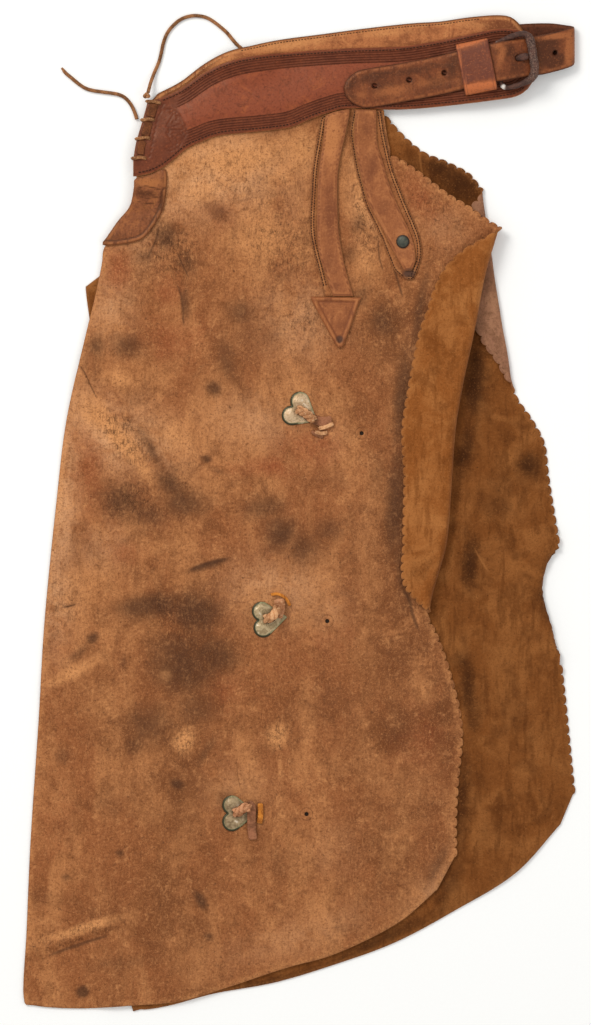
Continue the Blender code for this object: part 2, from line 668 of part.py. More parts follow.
def turned(name, base, at, radius, height, finish):
    """A low dome with a flat foot, set square on the surface under it."""
    seat, normal = base.ray_cast(metres(*at, 200), Vector((0, 0, -1)))[:2]
    shape = bmesh.new()
    bmesh.ops.create_cone(
        shape, cap_ends=True, segments=20, radius1=radius * MM, radius2=radius * 0.7 * MM,
        depth=height * MM,
    )
    turn = normal.to_track_quat("Z", "Y").to_matrix()
    bmesh.ops.rotate(shape, cent=Vector((0, 0, 0)), matrix=turn, verts=shape.verts)
    middle = seat + normal * (LAID_GAP + height / 2) * MM
    bmesh.ops.translate(shape, vec=middle, verts=shape.verts)
    data = bpy.data.meshes.new(name)
    shape.to_mesh(data)
    shape.free()
    return new_object(name, data, finish)


def heart(row):
    """A heart of two round lobes and a point; turn is its point's direction, clockwise from right."""
    ahead = CONCHO_POINT + CONCHO_BACK
    start = math.atan2(-CONCHO_ASIDE, -math.sqrt(CONCHO_LOBE ** 2 - CONCHO_ASIDE ** 2)) + 2 * math.pi
    end = math.atan2(-CONCHO_ASIDE, ahead) + math.acos(CONCHO_LOBE / math.hypot(ahead, CONCHO_ASIDE))
    lobe = []
    for i in range(12):
        t = start + (end - start) * i / 11
        lobe.append((CONCHO_LOBE * math.cos(t) - CONCHO_BACK, CONCHO_ASIDE + CONCHO_LOBE * math.sin(t)))
    lobe.append((CONCHO_POINT - 0.8, 0.5))
    turn = math.radians(row.turn)
    return [
        Point(
            row.across + forward * math.cos(turn) - side * math.sin(turn),
            row.down + forward * math.sin(turn) + side * math.cos(turn),
        )
        for forward, side in lobe + [(forward, -side) for forward, side in lobe[:0:-1]]
    ]


def conchos():
    leg = surface_of(bpy.data.objects["near_leg"])
    for number, (row, thong) in enumerate(zip(CONCHOS, CONCHO_THONGS), 1):
        seat = hung(leg, row.across, row.down)
        plate = applied(f"concho_{number}", heart(row), leg, SEAM_GAP, CONCHO_METAL, METAL)
        plate.data.shade_flat()
        lift = seat + SEAM_GAP + CONCHO_METAL + SEAM_GAP + CONCHO_THONG_RADIUS
        path = [CordPoint(p.across, p.down, lift + p.height - 1.4) for p in thong]
        tube_object(f"concho_thong_{number}", path, CONCHO_THONG_RADIUS, THONG, 5)


def belt_strap():
    shape = bmesh.new()
    rows = []
    for place in through(BELT_STRAP, 7):
        row = StrapRow(*place)
        lean = math.radians(row.lean)
        rows.append([
            shape.verts.new(metres(
                row.across + math.sin(lean) * row.width * k,
                row.down + math.cos(lean) * row.width * k,
                row.height,
            ))
            for k in (-0.5, -0.25, 0, 0.25, 0.5)
        ])
    for upper, lower in zip(rows, rows[1:]):
        for k in range(4):
            shape.faces.new([upper[k], upper[k + 1], lower[k + 1], lower[k]])
    shape.normal_update()
    strap = sheet_object("belt_strap", shape, STRAP_LEATHER, STRAP, centred=True)
    for number, at in enumerate(STRAP_HOLES + [TONGUE_HOLE], 1):
        width = TONGUE_SLOT if at is TONGUE_HOLE else STRAP_HOLE
        cut_round(strap, f"strap_hole_{number}", at, width / 2, 9 if at.across > 540 else 12)


def cut_round(target, name, at, radius, low):
    """A round hole from height low upwards."""
    shape = bmesh.new()
    bmesh.ops.create_cone(
        shape, cap_ends=True, segments=16, radius1=radius * MM, radius2=radius * MM, depth=30 * MM
    )
    bmesh.ops.translate(shape, vec=metres(at.across, at.down, low + 15), verts=shape.verts)
    data = bpy.data.meshes.new(name)
    shape.to_mesh(data)
    shape.free()
    cutter = bpy.data.objects.new(name, data)
    cutter.hide_render = True
    cutter.display_type = "WIRE"
    CUTTERS.objects.link(cutter)
    hole = target.modifiers.new(name, "BOOLEAN")
    hole.operation = "DIFFERENCE"
    hole.object = cutter


def buckle():
    radii = [row.radius for row in BUCKLE]
    tube_object(
        "buckle_frame", [row[:3] for row in BUCKLE], 1.0, IRON, 5, radii=radii, cyclic=True
    )
    tube_object("buckle_tongue", TONGUE, TONGUE_RADIUS, IRON, 4)


def keeper():
    """A loop of leather over the strap, sewn down on the yoke on both sides."""
    strap = surface_of(bpy.data.objects["belt_strap"])
    yoke = surface_of(bpy.data.objects["near_yoke"])
    along = Vector((math.cos(KEEPER_LEAN), math.sin(KEEPER_LEAN)))
    aside = Vector((-along.y, along.x))
    reach = STRAP_WIDTH / 2 + KEEPER_BEYOND
    shape = bmesh.new()
    rows = []
    for station in range(KEEPER_STATIONS):
        middle = Vector(KEEPER_AT) + along * (KEEPER_ACROSS * station / (KEEPER_STATIONS - 1))
        top = max(
            hung(strap, *(middle + along * ahead + aside * k)) for ahead in (-4, 0, 4) for k in (-6, 6)
        ) + 0.9
        row = []
        for side in (-1, 1):
            foot = middle + aside * (reach * side)
            shin = middle + aside * ((reach - 0.8) * side)
            knee = middle + aside * ((reach - 4.2) * side)
            low = hung(yoke, *foot) + LAID_GAP
            points = [(*foot, low), (*shin, low + (top - low) * 0.6), (*knee, top)]
            row += points if side < 0 else points[::-1]
        rows.append([shape.verts.new(metres(*point)) for point in row])
    for near_row, far_row in zip(rows, rows[1:]):
        for k in range(len(near_row) - 1):
            shape.faces.new([near_row[k], near_row[k + 1], far_row[k + 1], far_row[k]])
    bmesh.ops.recalc_face_normals(shape, faces=shape.faces)
    if max(shape.faces, key=lambda face: face.calc_area()).normal.z < 0:
        bmesh.ops.reverse_faces(shape, faces=shape.faces)
    sheet_object("keeper", shape, KEEPER_LEATHER, KEEPER)


def lacing():
    """The thong that joins the yokes' fronts: four wraps over the edge, a knot and two free ends."""
    yoke = surface_of(bpy.data.objects["near_yoke"])
    half = THONG_WIDTH / 2
    for number, (hole, edge) in enumerate(zip(LACE_HOLES, LACE_EDGES), 1):
        away = (Vector(edge) - Vector(hole)).normalized()
        past = Vector(edge) + away * (half + 1.6)
        spots = [Vector(hole).lerp(Vector(edge), t) for t in (0, 0.5, 0.9)]
        high = max(hung(yoke, *spot) for spot in spots) + half + 2 * LAID_GAP
        path = [
            (*hole, high),
            (*spots[1], high),
            (*spots[2], high),
            (*past, high - 3.0),
            (*past, 4.5),
            (*past, half + 0.1),
        ]
        tube_object(f"lace_wrap_{number}", path, half, THONG, 4)
    shape = bmesh.new()
    bmesh.ops.create_uvsphere(shape, u_segments=12, v_segments=8, radius=MM)
    bmesh.ops.scale(shape, vec=Vector(KNOT_SIZE), verts=shape.verts)
    bmesh.ops.translate(shape, vec=metres(*KNOT_AT), verts=shape.verts)
    data = bpy.data.meshes.new("lace_knot")
    shape.to_mesh(data)
    shape.free()
    new_object("lace_knot", data, THONG)
    tube_object("lace_end_upper", LACE_UPPER, half, THONG, 8)
    tube_object("lace_end_side", LACE_SIDE, half, THONG, 8)


for old in list(bpy.data.objects):
    bpy.data.objects.remove(old)
CHAPS = bpy.data.collections.new("Leather chaps")
CUTTERS = bpy.data.collections.new("Cutters")
bpy.context.scene.collection.children.link(CHAPS)
bpy.context.scene.collection.children.link(CUTTERS)

GRAIN = material("Worn tan leather", (0.40, 0.16, 0.06), 0.6)
SUEDE = material("Brown suede", (0.20, 0.08, 0.03), 0.9)
YOKE = material("Oiled red-brown leather", (0.15, 0.035, 0.02), 0.45)
LINING = material("Tan lining leather", (0.45, 0.18, 0.06), 0.7)
STRAP = material("Bridle leather", (0.25, 0.07, 0.03), 0.45)
KEEPER = material("Orange-tan leather", (0.40, 0.12, 0.04), 0.5)
THONG = material("Rawhide thong", (0.30, 0.14, 0.06), 0.7)
IRON = material("Rusty iron", (0.06, 0.03, 0.025), 0.6, 0.8)
METAL = material("Patinated nickel", (0.50, 0.45, 0.35), 0.45, 0.9)
RIVET = material("Blued steel", (0.08, 0.09, 0.09), 0.4, 0.9)

legs()
yokes()
hip_straps()
conchos()
belt_strap()
keeper()
buckle()
lacing()
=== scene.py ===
"""Looks of the leather chaps: fine leather panels with their creases, stains and wear, tooled yokes,
sewn hip straps, conchos, a rusty buckle and the rawhide lacing, laid flat and seen from above.

Places are given on a cutting sheet of 591 by 1025 mm: across to the right and down towards the hem,
in millimetres from the upper left corner, with heights in millimetres above the table."""

import json
import math
from collections import namedtuple

import bmesh
import bpy
import numpy as np
from mathutils import Matrix, Vector
from mathutils.bvhtree import BVHTree
from mathutils.geometry import delaunay_2d_cdt

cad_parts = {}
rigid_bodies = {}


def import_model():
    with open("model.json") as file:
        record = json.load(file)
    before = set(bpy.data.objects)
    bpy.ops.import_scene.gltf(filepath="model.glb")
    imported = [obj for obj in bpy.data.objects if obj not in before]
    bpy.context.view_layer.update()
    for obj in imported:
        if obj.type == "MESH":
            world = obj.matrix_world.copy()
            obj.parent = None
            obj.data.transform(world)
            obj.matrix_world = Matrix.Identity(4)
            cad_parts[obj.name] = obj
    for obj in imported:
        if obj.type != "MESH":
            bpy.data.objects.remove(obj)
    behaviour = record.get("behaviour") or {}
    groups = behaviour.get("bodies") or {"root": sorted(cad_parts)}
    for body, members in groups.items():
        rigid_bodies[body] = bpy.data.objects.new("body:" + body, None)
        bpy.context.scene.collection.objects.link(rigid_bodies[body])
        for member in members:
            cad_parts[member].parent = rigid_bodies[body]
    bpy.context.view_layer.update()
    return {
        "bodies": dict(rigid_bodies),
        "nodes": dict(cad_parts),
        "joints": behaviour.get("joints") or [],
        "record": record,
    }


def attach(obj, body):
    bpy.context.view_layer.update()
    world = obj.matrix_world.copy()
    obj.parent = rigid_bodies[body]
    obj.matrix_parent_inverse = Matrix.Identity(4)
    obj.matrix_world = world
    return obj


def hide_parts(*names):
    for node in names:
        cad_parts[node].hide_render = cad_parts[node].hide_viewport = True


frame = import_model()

MM = 0.001
ORIGIN_ACROSS, ORIGIN_DOWN = 299.44, 512.5
SHEET_ACROSS, SHEET_DOWN = 591, 1025

LEG_LEATHER = 2.0
YOKE_LEATHER = 2.4
LINING_LEATHER = 1.2
STRAP_LEATHER = 3.0
TAB_LEATHER = 1.6
SEAM_GAP = 0.3
LAID_GAP = 0.5

SCALLOP_PITCH = 10.0
SCALLOP_DEPTH = 3.0
SCALLOP_STEPS = 10
SEAM_OVERLAP = 14.0

LEG_PITCH = 4.0
FOLD_PITCH = 1.6
CREASE_PITCH = 1.8
YOKE_PITCH = 2.0
STRAP_PITCH = 2.0

NEAR_FOLD_RADIUS = 6.5
NEAR_FLAP_EDGE_HEIGHT = 6.4
FAR_FOLD_RADIUS = 3.2
FAR_FLAP_EDGE_HEIGHT = 4.8
UNDER_FOLD_RADIUS = 0.8
UNDER_HEIGHT = 4.6
FLAP_WHOLE = 2.0

NEAR_ON_FAR = 2.6
NEAR_SEAM_HEIGHT = 6.6
NEAR_ON_FAR_FLAP = 7.8
FAR_SEAM_HEIGHT = 2.7
LINING_SEAM_HEIGHT = 5.1
NEAR_YOKE_HEIGHT = 9.0
NEAR_YOKE_TOP_HEIGHT = 4.6
STRAP_END_RISE = 3.4
THONG_RISE = 4.2

CAMERA_HEIGHT = 5.0
CAMERA_SENSOR = 36.0

THONG_WIDTH = 3.6
STRAP_WIDTH = 38.0
STRAP_HOLE = 5.3
TONGUE_SLOT = 9.0
RIVET_RADIUS = 6.7
RIVET_HEIGHT = 2.4

Point = namedtuple("Point", "across down")
FoldRow = namedtuple("FoldRow", "down fold flap")
BandRow = namedtuple("BandRow", "down left right")
StrapRow = namedtuple("StrapRow", "across down height width lean")
CordPoint = namedtuple("CordPoint", "across down height")

# The lower edge of both yokes, from the laced front to the buckle.
YOKE_LOWER = [
    Point(134, 177), Point(150, 174), Point(163, 168), Point(175, 159), Point(187, 149),
    Point(200, 143), Point(220, 136), Point(260, 132), Point(290, 128), Point(310, 120),
    Point(330, 113), Point(350, 109), Point(400, 110), Point(450, 106), Point(500, 100),
    Point(518, 96), Point(530, 87),
]
NEAR_YOKE_UPPER = [
    Point(535, 78), Point(533, 52), Point(523, 34), Point(511, 30), Point(495, 30),
    Point(470, 35), Point(440, 41), Point(400, 47), Point(350, 49), Point(300, 52),
    Point(260, 56), Point(230, 62), Point(205, 73), Point(180, 90), Point(160, 99),
]
NEAR_YOKE_FRONT = [Point(148, 103), Point(143, 122), Point(137, 143), Point(134, 160)]
FAR_YOKE_UPPER = [
    Point(534, 76), Point(532, 52), Point(524, 33), Point(514, 20), Point(500, 16),
    Point(470, 18), Point(440, 22), Point(410, 24), Point(365, 29), Point(320, 35),
    Point(282, 40), Point(254, 46), Point(229, 52), Point(205, 64), Point(181, 82),
    Point(158, 94),
]
FAR_YOKE_FRONT = [Point(150, 103), Point(145, 122), Point(139, 143), Point(136, 160)]

# Each leg runs from its seam, round the hip, down the wing, along the hem and up the inner edge.
NEAR_HIP_TOP = [Point(383.5, 112), Point(386.5, 134)]
NEAR_HIP = [
    Point(391, 155), Point(404, 161), Point(425, 176), Point(447, 193), Point(470, 207),
    Point(485, 218),
]
NEAR_FOLD = [
    FoldRow(227, 499, 0), FoldRow(247, 493, 26), FoldRow(267, 487, 42), FoldRow(289, 482, 49),
    FoldRow(311, 478, 52), FoldRow(337, 473, 56), FoldRow(384, 463, 55), FoldRow(434, 455, 54),
    FoldRow(478, 452, 49), FoldRow(540, 447, 45), FoldRow(578, 437, 36), FoldRow(596, 432, 22),
    FoldRow(608, 430, 9), FoldRow(615, 429, 0),
]
NEAR_WING = [
    Point(438, 635), Point(450, 669), Point(460, 708), Point(463, 738), Point(459, 780),
    Point(457, 818), Point(457, 857),
]
NEAR_HEM = [
    Point(437, 889), Point(397, 923), Point(336, 953), Point(284, 968), Point(224, 988),
    Point(178, 1001), Point(132, 1005), Point(80, 1008), Point(35, 1005),
]
NEAR_INNER = [
    Point(24, 996), Point(27, 930), Point(31, 840), Point(39, 720), Point(45, 620),
    Point(57, 500), Point(67, 420), Point(85, 340), Point(94, 303), Point(102, 266),
    Point(104, 250),
]
NEAR_FRONT = [Point(111, 239), Point(122, 222), Point(133, 206), Point(137, 190), Point(137, 176)]

FAR_HIP = [
    Point(386, 115), Point(396, 127), Point(410, 141), Point(426, 153), Point(446, 161),
    Point(469, 173),
]
FAR_FOLD = [
    FoldRow(188, 482, 0), FoldRow(206, 484, 14), FoldRow(225, 487, 33), FoldRow(250, 491, 44),
    FoldRow(280, 495, 50), FoldRow(305, 499, 45), FoldRow(330, 503, 28), FoldRow(345, 506, 23),
    FoldRow(363, 509, 13), FoldRow(378, 511, 7), FoldRow(394, 516, 0),
]
FAR_WING = [Point(533, 420), Point(545, 444), Point(549, 476), Point(556, 520), Point(560, 544)]
FAR_UNDER = [
    FoldRow(548, 559, 0), FoldRow(556, 553, 6), FoldRow(566, 547, 11), FoldRow(586, 543, 15),
    FoldRow(602, 545, 13), FoldRow(626, 552, 7), FoldRow(647, 557, 2), FoldRow(654, 560, 0),
]
FAR_LOWER_WING = [
    Point(562, 664), Point(566, 700), Point(570, 740), Point(574, 780), Point(575.5, 794),
]
FAR_HEM = [
    Point(560, 824), Point(515, 873), Point(455, 910), Point(395, 942), Point(335, 964),
    Point(275, 982), Point(215, 993), Point(170, 1005), Point(140, 1009),
]
FAR_INNER = [
    Point(130, 1000), Point(124, 900), Point(112, 700), Point(101, 500), Point(94, 360),
    Point(87, 298), Point(86, 287),
]
FAR_FRONT = [Point(99, 277), Point(125, 250), Point(141, 215), Point(151, 190)]

TAB = [
    Point(134.6, 181), Point(134, 191), Point(130, 207), Point(118, 222), Point(107, 238),
    Point(103, 245), Point(119, 245), Point(141, 240), Point(153, 228), Point(163, 210),
    Point(166, 193), Point(167.4, 178), Point(166, 170.4), Point(162.6, 170), Point(150, 175.8),
    Point(137, 178.8),
]

# The two applied hip straps: the strap itself, and the thinner layer that borders it.
STRAP_1 = [
    BandRow(110.4, 346.6, 349.4), BandRow(113.4, 333, 349.2), BandRow(117.2, 325.6, 348.8),
    BandRow(121, 324.8, 348), BandRow(143, 323, 343.4), BandRow(163, 320, 339),
    BandRow(185, 318, 337), BandRow(229, 317, 338), BandRow(254, 319, 342),
    BandRow(273, 325, 346), BandRow(296.4, 333, 353),
]
STRAP_1_BORDER = [
    BandRow(110.2, 347, 350.6), BandRow(113.4, 332.4, 350.2), BandRow(117.4, 322, 349.6),
    BandRow(121, 320.6, 349), BandRow(131, 319, 346.6), BandRow(143, 317, 344), BandRow(168, 313, 339),
    BandRow(198, 311, 338), BandRow(225, 310, 339), BandRow(244, 312, 341),
    BandRow(268, 318, 345), BandRow(296.4, 325, 354),
]
STRAP_2 = [
    BandRow(110.6, 355.4, 376), BandRow(143, 354, 377), BandRow(163, 358, 383),
    BandRow(185, 363, 389), BandRow(207, 370, 398), BandRow(229, 382, 408),
    BandRow(247, 391, 414), BandRow(262, 399, 415), BandRow(271, 405, 411),
]
STRAP_2_BORDER = [
    BandRow(110.4, 354, 381), BandRow(131, 350.4, 384), BandRow(150, 352.4, 388),
    BandRow(170, 356, 393), BandRow(189, 361, 400), BandRow(207, 366, 407),
    BandRow(223, 374, 414), BandRow(240, 382, 420), BandRow(258, 389, 421),
    BandRow(271, 395, 417), BandRow(280, 406, 413),
]
STRAP_1_POINT = [
    Point(313, 297), Point(357, 298), Point(359, 302), Point(344, 344), Point(340, 347),
    Point(336, 345), Point(312, 301),
]
RIVET_AT = Point(402.7, 242.2)

# The belt strap from its tip, over the buckle's hidden bar, under the visible bar and round its loop.
BELT_STRAP = [
    StrapRow(344.5, 92.8, 13.6, 8, 10.6), StrapRow(349, 92, 13.6, 22, 10.6),
    StrapRow(356, 91.4, 13.6, 32, 10.6), StrapRow(366, 90, 13.6, 38, 10.6),
    StrapRow(400, 84.2, 13.6, 38, 10.6), StrapRow(436, 77.4, 13.8, 38, 10.6),
    StrapRow(456, 72.6, 15.2, 38, 10.6), StrapRow(470, 68.4, 17.4, 38, 10.6),
    StrapRow(482, 66.4, 20, 38, 10.6), StrapRow(491, 65, 21.9, 38, 10.6),
    StrapRow(500, 63.4, 22.6, 38, 10.6), StrapRow(509, 61.8, 21.6, 38, 10.6),
    StrapRow(519, 60, 18.9, 38, 10.6), StrapRow(530, 58.2, 17, 38, 10.6),
    StrapRow(541, 56.2, 15.4, 38, 9.5), StrapRow(556, 52.6, 12.6, 37.5, 6),
    StrapRow(567, 49.4, 11, 37.5, 2.5), StrapRow(571.4, 47.6, 9.4, 37.5, 1),
    StrapRow(573, 46.4, 6.6, 37.5, 0), StrapRow(571.4, 45.6, 3.6, 37.5, 0),
    StrapRow(565.4, 44.6, 1.9, 37.5, 0), StrapRow(550, 43, 1.6, 38, 0),
    StrapRow(525, 43.4, 1.6, 38, -3), StrapRow(492, 46, 1.6, 38, -4),
]
STRAP_HOLES = [Point(374.5, 87), Point(409, 81), Point(444, 74), Point(554, 54)]
TONGUE_HOLE = Point(517, 60)

BuckleRow = namedtuple("BuckleRow", "across down height radius")
BUCKLE = [
    BuckleRow(497, 44.5, 17.7, 2.4), BuckleRow(509, 39, 19.4, 2.6), BuckleRow(520, 36, 21.2, 2.8),
    BuckleRow(526.5, 37.5, 22.4, 3.1), BuckleRow(529.5, 44, 22.8, 3.3),
    BuckleRow(532, 58, 22.9, 3.3), BuckleRow(533.5, 71, 22.8, 3.3), BuckleRow(531, 79.5, 22.2, 3.1),
    BuckleRow(524, 84, 21.2, 2.8), BuckleRow(515, 87.5, 19.8, 2.6), BuckleRow(504, 88.8, 18, 2.4),
    BuckleRow(499.5, 82, 17.7, 2.4), BuckleRow(497, 66, 17.7, 2.4), BuckleRow(495, 51, 17.7, 2.4),
]
TONGUE = [
    CordPoint(502.5, 63, 17.6), CordPoint(509, 62, 17.0), CordPoint(513.5, 61, 17.2),
    CordPoint(516.4, 60.3, 19.4), CordPoint(519, 59.6, 22), CordPoint(523, 58.8, 23.4),
    CordPoint(527.2, 58, 23.4),
]
TONGUE_RADIUS = 1.9

KEEPER_ACROSS = 32.0
KEEPER_LEATHER = 1.8
KEEPER_BEYOND = 5.6
KEEPER_AT = Point(460, 71.3)
KEEPER_STATIONS = 4
KEEPER_LEAN = math.radians(-11.2)

LACE_HOLES = [Point(161, 104), Point(154.8, 120.5), Point(150.6, 139), Point(146.4, 159)]
LACE_EDGES = [Point(148.5, 102), Point(143.4, 120.5), Point(138, 139.5), Point(134.2, 159)]
KNOT_AT = CordPoint(147, 96.4, 10.2)
KNOT_SIZE = (3.4, 2.8, 2.8)

LACE_UPPER = [
    CordPoint(148.4, 93.2, 10), CordPoint(150.6, 84, 6.6), CordPoint(154, 74, 3.2),
    CordPoint(159, 62, 1.9), CordPoint(161.5, 52, 1.9), CordPoint(163.5, 43, 1.9),
    CordPoint(167, 34, 1.9), CordPoint(172.5, 26.5, 1.9), CordPoint(181, 19.5, 1.9),
    CordPoint(191, 16.2, 1.9), CordPoint(200, 16.2, 1.9), CordPoint(208, 18.4, 1.9),
    CordPoint(215, 22.8, 1.9), CordPoint(221, 27.6, 1.9), CordPoint(227, 33, 1.9),
    CordPoint(232.4, 39.6, 1.9), CordPoint(237, 44.8, 1.9), CordPoint(242.5, 49.4, 1.9),
    CordPoint(249, 54, 1.9),
]
LACE_SIDE = [
    CordPoint(136.8, 119.4, 2.6), CordPoint(135.9, 116, 2.1), CordPoint(134.4, 111.6, 1.9),
    CordPoint(132.2, 106.8, 1.9), CordPoint(129, 102, 1.9), CordPoint(124.4, 97.4, 1.9),
    CordPoint(118.4, 94.6, 1.9), CordPoint(111, 93.2, 1.9), CordPoint(102, 92, 1.9),
    CordPoint(93.6, 90.8, 1.9), CordPoint(86, 88.6, 1.9), CordPoint(80, 85, 1.9),
    CordPoint(75, 81, 1.9), CordPoint(70, 76.8, 1.9), CordPoint(65.6, 73, 1.9),
    CordPoint(61.8, 68, 1.9),
]

ConchoRow = namedtuple("ConchoRow", "across down turn")
CONCHOS = [ConchoRow(299.1, 410.6, 31), ConchoRow(266.4, 619, -6), ConchoRow(236, 813, 0)]
CONCHO_LOBE = 9.5
CONCHO_ASIDE = 8.2
CONCHO_BACK = 4.0
CONCHO_POINT = 21.0
CONCHO_METAL = 1.4
CONCHO_THONGS = [
    [CordPoint(297.5, 409.5, 1.6), CordPoint(302, 411.5, 3.2), CordPoint(308, 415.5, 4.6),
     CordPoint(314, 421, 4.6), CordPoint(321, 426, 3.4), CordPoint(328, 429, 2.4)],
    [CordPoint(264.5, 618.5, 1.6), CordPoint(269.5, 618, 3.4), CordPoint(274.5, 614, 4.8),
     CordPoint(278, 607, 4.8), CordPoint(279.5, 601, 3.8), CordPoint(278.5, 596, 2.6)],
    [CordPoint(234, 812, 1.6), CordPoint(239.5, 811, 3.4), CordPoint(245, 806.5, 4.8),
     CordPoint(250.5, 807.5, 4.4), CordPoint(251.5, 817, 3.4), CordPoint(251.5, 828, 2.8),
     CordPoint(252.5, 837, 2.4)],
]
CONCHO_THONG_RADIUS = 3.2


# Marks of wear: an oval's place, its length and width, the direction of its length, its strength.
Mark = namedtuple("Mark", "across down long wide turn strength")
# A crease or ridge: the places that it runs through, its half width and its height, below 0 a trough.
Crease = namedtuple("Crease", "points width height")

LEG_SLACK = 0.5
SWELL = 0.28
FAR_SWELL = 1.2

PUNCHED = [Point(361.6, 433.3), Point(327.2, 621), Point(306.5, 813.8)]
PUNCH_RADIUS = 1.7
PUNCH_DEPTH = 1.5
PUNCH_RING = 6.3
PUNCH_RING_DEPTH = 0.35

NEAR_CREASES = [
    Crease([Point(78, 363), Point(85, 373), Point(90, 384), Point(98, 401)], 2.6, -1.5),
    Crease([Point(101, 398), Point(122, 420), Point(140, 442), Point(153, 468), Point(160, 492)], 13, 2.4),
    Crease([Point(86, 372), Point(104, 372), Point(120, 384)], 11, 1.3),
    Crease([Point(38, 948), Point(60, 941), Point(82, 933), Point(108, 924), Point(132, 922)], 4.5, 1.8),
    Crease([Point(44, 957), Point(80, 944), Point(112, 934)], 4.0, -0.9),
    Crease([Point(402, 588), Point(409, 600), Point(413, 616), Point(420, 634)], 3.6, -1.1),
    Crease([Point(176, 281), Point(182, 300), Point(184, 330)], 3.4, -0.8),
    Crease([Point(176, 250), Point(184, 268), Point(190, 280)], 2.4, -0.7),
    Crease([Point(378, 238), Point(379, 256), Point(384, 274)], 2.4, -0.7),
    Crease([Point(392, 262), Point(398, 282), Point(404, 300)], 2.8, -0.7),
    Crease([Point(43, 690), Point(72, 674), Point(108, 656)], 9, 1.0),
    Crease([Point(186, 572), Point(206, 564), Point(231, 558)], 3.6, -0.8),
    Crease([Point(236, 757), Point(238, 776), Point(241, 792)], 1.6, -0.7),
    Crease([Point(420, 500), Point(428, 540), Point(424, 584)], 8, 0.8),
    Crease([Point(160, 224), Point(156, 240), Point(146, 262)], 3.0, -0.8),
    Crease([Point(352, 350), Point(372, 372), Point(384, 402)], 9, 0.9),
    Crease([Point(64, 607), Point(70, 606), Point(77, 604)], 1.8, -0.6),
]
# Besides real stains this table holds painted shade: the long narrow marks beside the wing flap's free edge, near
# across 400 from down 316 to 574, and the marks on the ridge's shaded side from (150, 446) to (184, 502).
NEAR_STAINS_AND_SHADE = [
    Mark(150, 606, 84, 30, -6, 0.95), Mark(196, 612, 62, 46, 10, 0.95), Mark(184, 664, 84, 74, 30, 0.8),
    Mark(214, 656, 50, 60, 80, 0.75), Mark(150, 722, 54, 64, 70, 0.62), Mark(196, 708, 60, 46, 0, 0.55),
    Mark(209, 565, 52, 9, -17, 0.95), Mark(93, 638, 15, 11, -30, 1.0), Mark(80, 652, 40, 12, -42, 0.6),
    Mark(177, 784, 17, 12, 20, 1.0), Mark(124, 664, 14, 24, 0, 0.5), Mark(136, 744, 26, 34, 60, 0.55),
    Mark(63, 756, 24, 24, 0, 0.5), Mark(207, 750, 44, 12, -60, 0.5), Mark(280, 532, 44, 44, 0, 0.85),
    Mark(264, 508, 60, 30, -10, 0.6), Mark(300, 548, 60, 40, 10, 0.55), Mark(330, 530, 40, 30, 0, 0.5),
    Mark(214, 389, 19, 16, 30, 0.95), Mark(206, 459, 13, 9, 20, 0.95), Mark(218, 471, 36, 8, 24, 0.5),
    Mark(96, 346, 20, 26, 0, 0.75), Mark(128, 346, 44, 30, 20, 0.65), Mark(239, 313, 36, 36, 0, 0.6),
    Mark(226, 360, 30, 60, -12, 0.55), Mark(186, 303, 50, 11, 84, 0.7), Mark(150, 446, 60, 13, 62, 0.75),
    Mark(170, 484, 46, 24, 52, 0.8), Mark(184, 502, 56, 40, 10, 0.75), Mark(122, 500, 60, 46, 10, 0.75),
    Mark(146, 516, 60, 36, 0, 0.6), Mark(218, 212, 42, 26, 30, 0.55), Mark(166, 237, 30, 34, 20, 0.8),
    Mark(188, 264, 34, 22, 60, 0.6), Mark(146, 256, 30, 26, 0, 0.5), Mark(359, 224, 16, 32, 20, 0.6),
    Mark(350, 254, 18, 24, 0, 0.6), Mark(383, 323, 36, 40, 0, 0.65), Mark(360, 296, 22, 30, 40, 0.55),
    Mark(419, 316, 100, 14, 100, 0.7), Mark(402, 400, 120, 22, 95, 0.85), Mark(396, 500, 140, 26, 93, 0.85),
    Mark(404, 574, 70, 20, 84, 0.7), Mark(377, 470, 90, 26, 96, 0.4), Mark(120, 853, 10, 8, 0, 0.9),
    Mark(201, 900, 26, 11, 60, 1.0), Mark(209, 936, 14, 10, 20, 0.8), Mark(66, 877, 12, 9, 0, 0.7),
    Mark(400, 730, 46, 60, 0, 0.35), Mark(330, 700, 90, 60, 20, 0.3), Mark(280, 860, 90, 50, 0, 0.25),
    Mark(110, 800, 60, 40, 0, 0.35), Mark(224, 798, 30, 30, 0, 0.45), Mark(48, 900, 30, 60, 90, 0.3),
    Mark(154, 570, 12, 4, -60, 0.8), Mark(70, 606, 16, 5, -14, 0.8), Mark(120, 962, 90, 18, -8, 0.4),
    Mark(84, 550, 60, 40, 60, 0.3), Mark(300, 980, 160, 16, -20, 0.45), Mark(440, 860, 90, 14, 118, 0.4), Mark(468, 566, 40, 60, 0, 0.3),
    Mark(470, 250, 30, 26, 0, 0.3), Mark(250, 330, 110, 60, 10, 0.3), Mark(330, 480, 80, 30, 0, 0.3),
    Mark(83, 991.4, 12.5, 11.5, 0, 1.6),
]
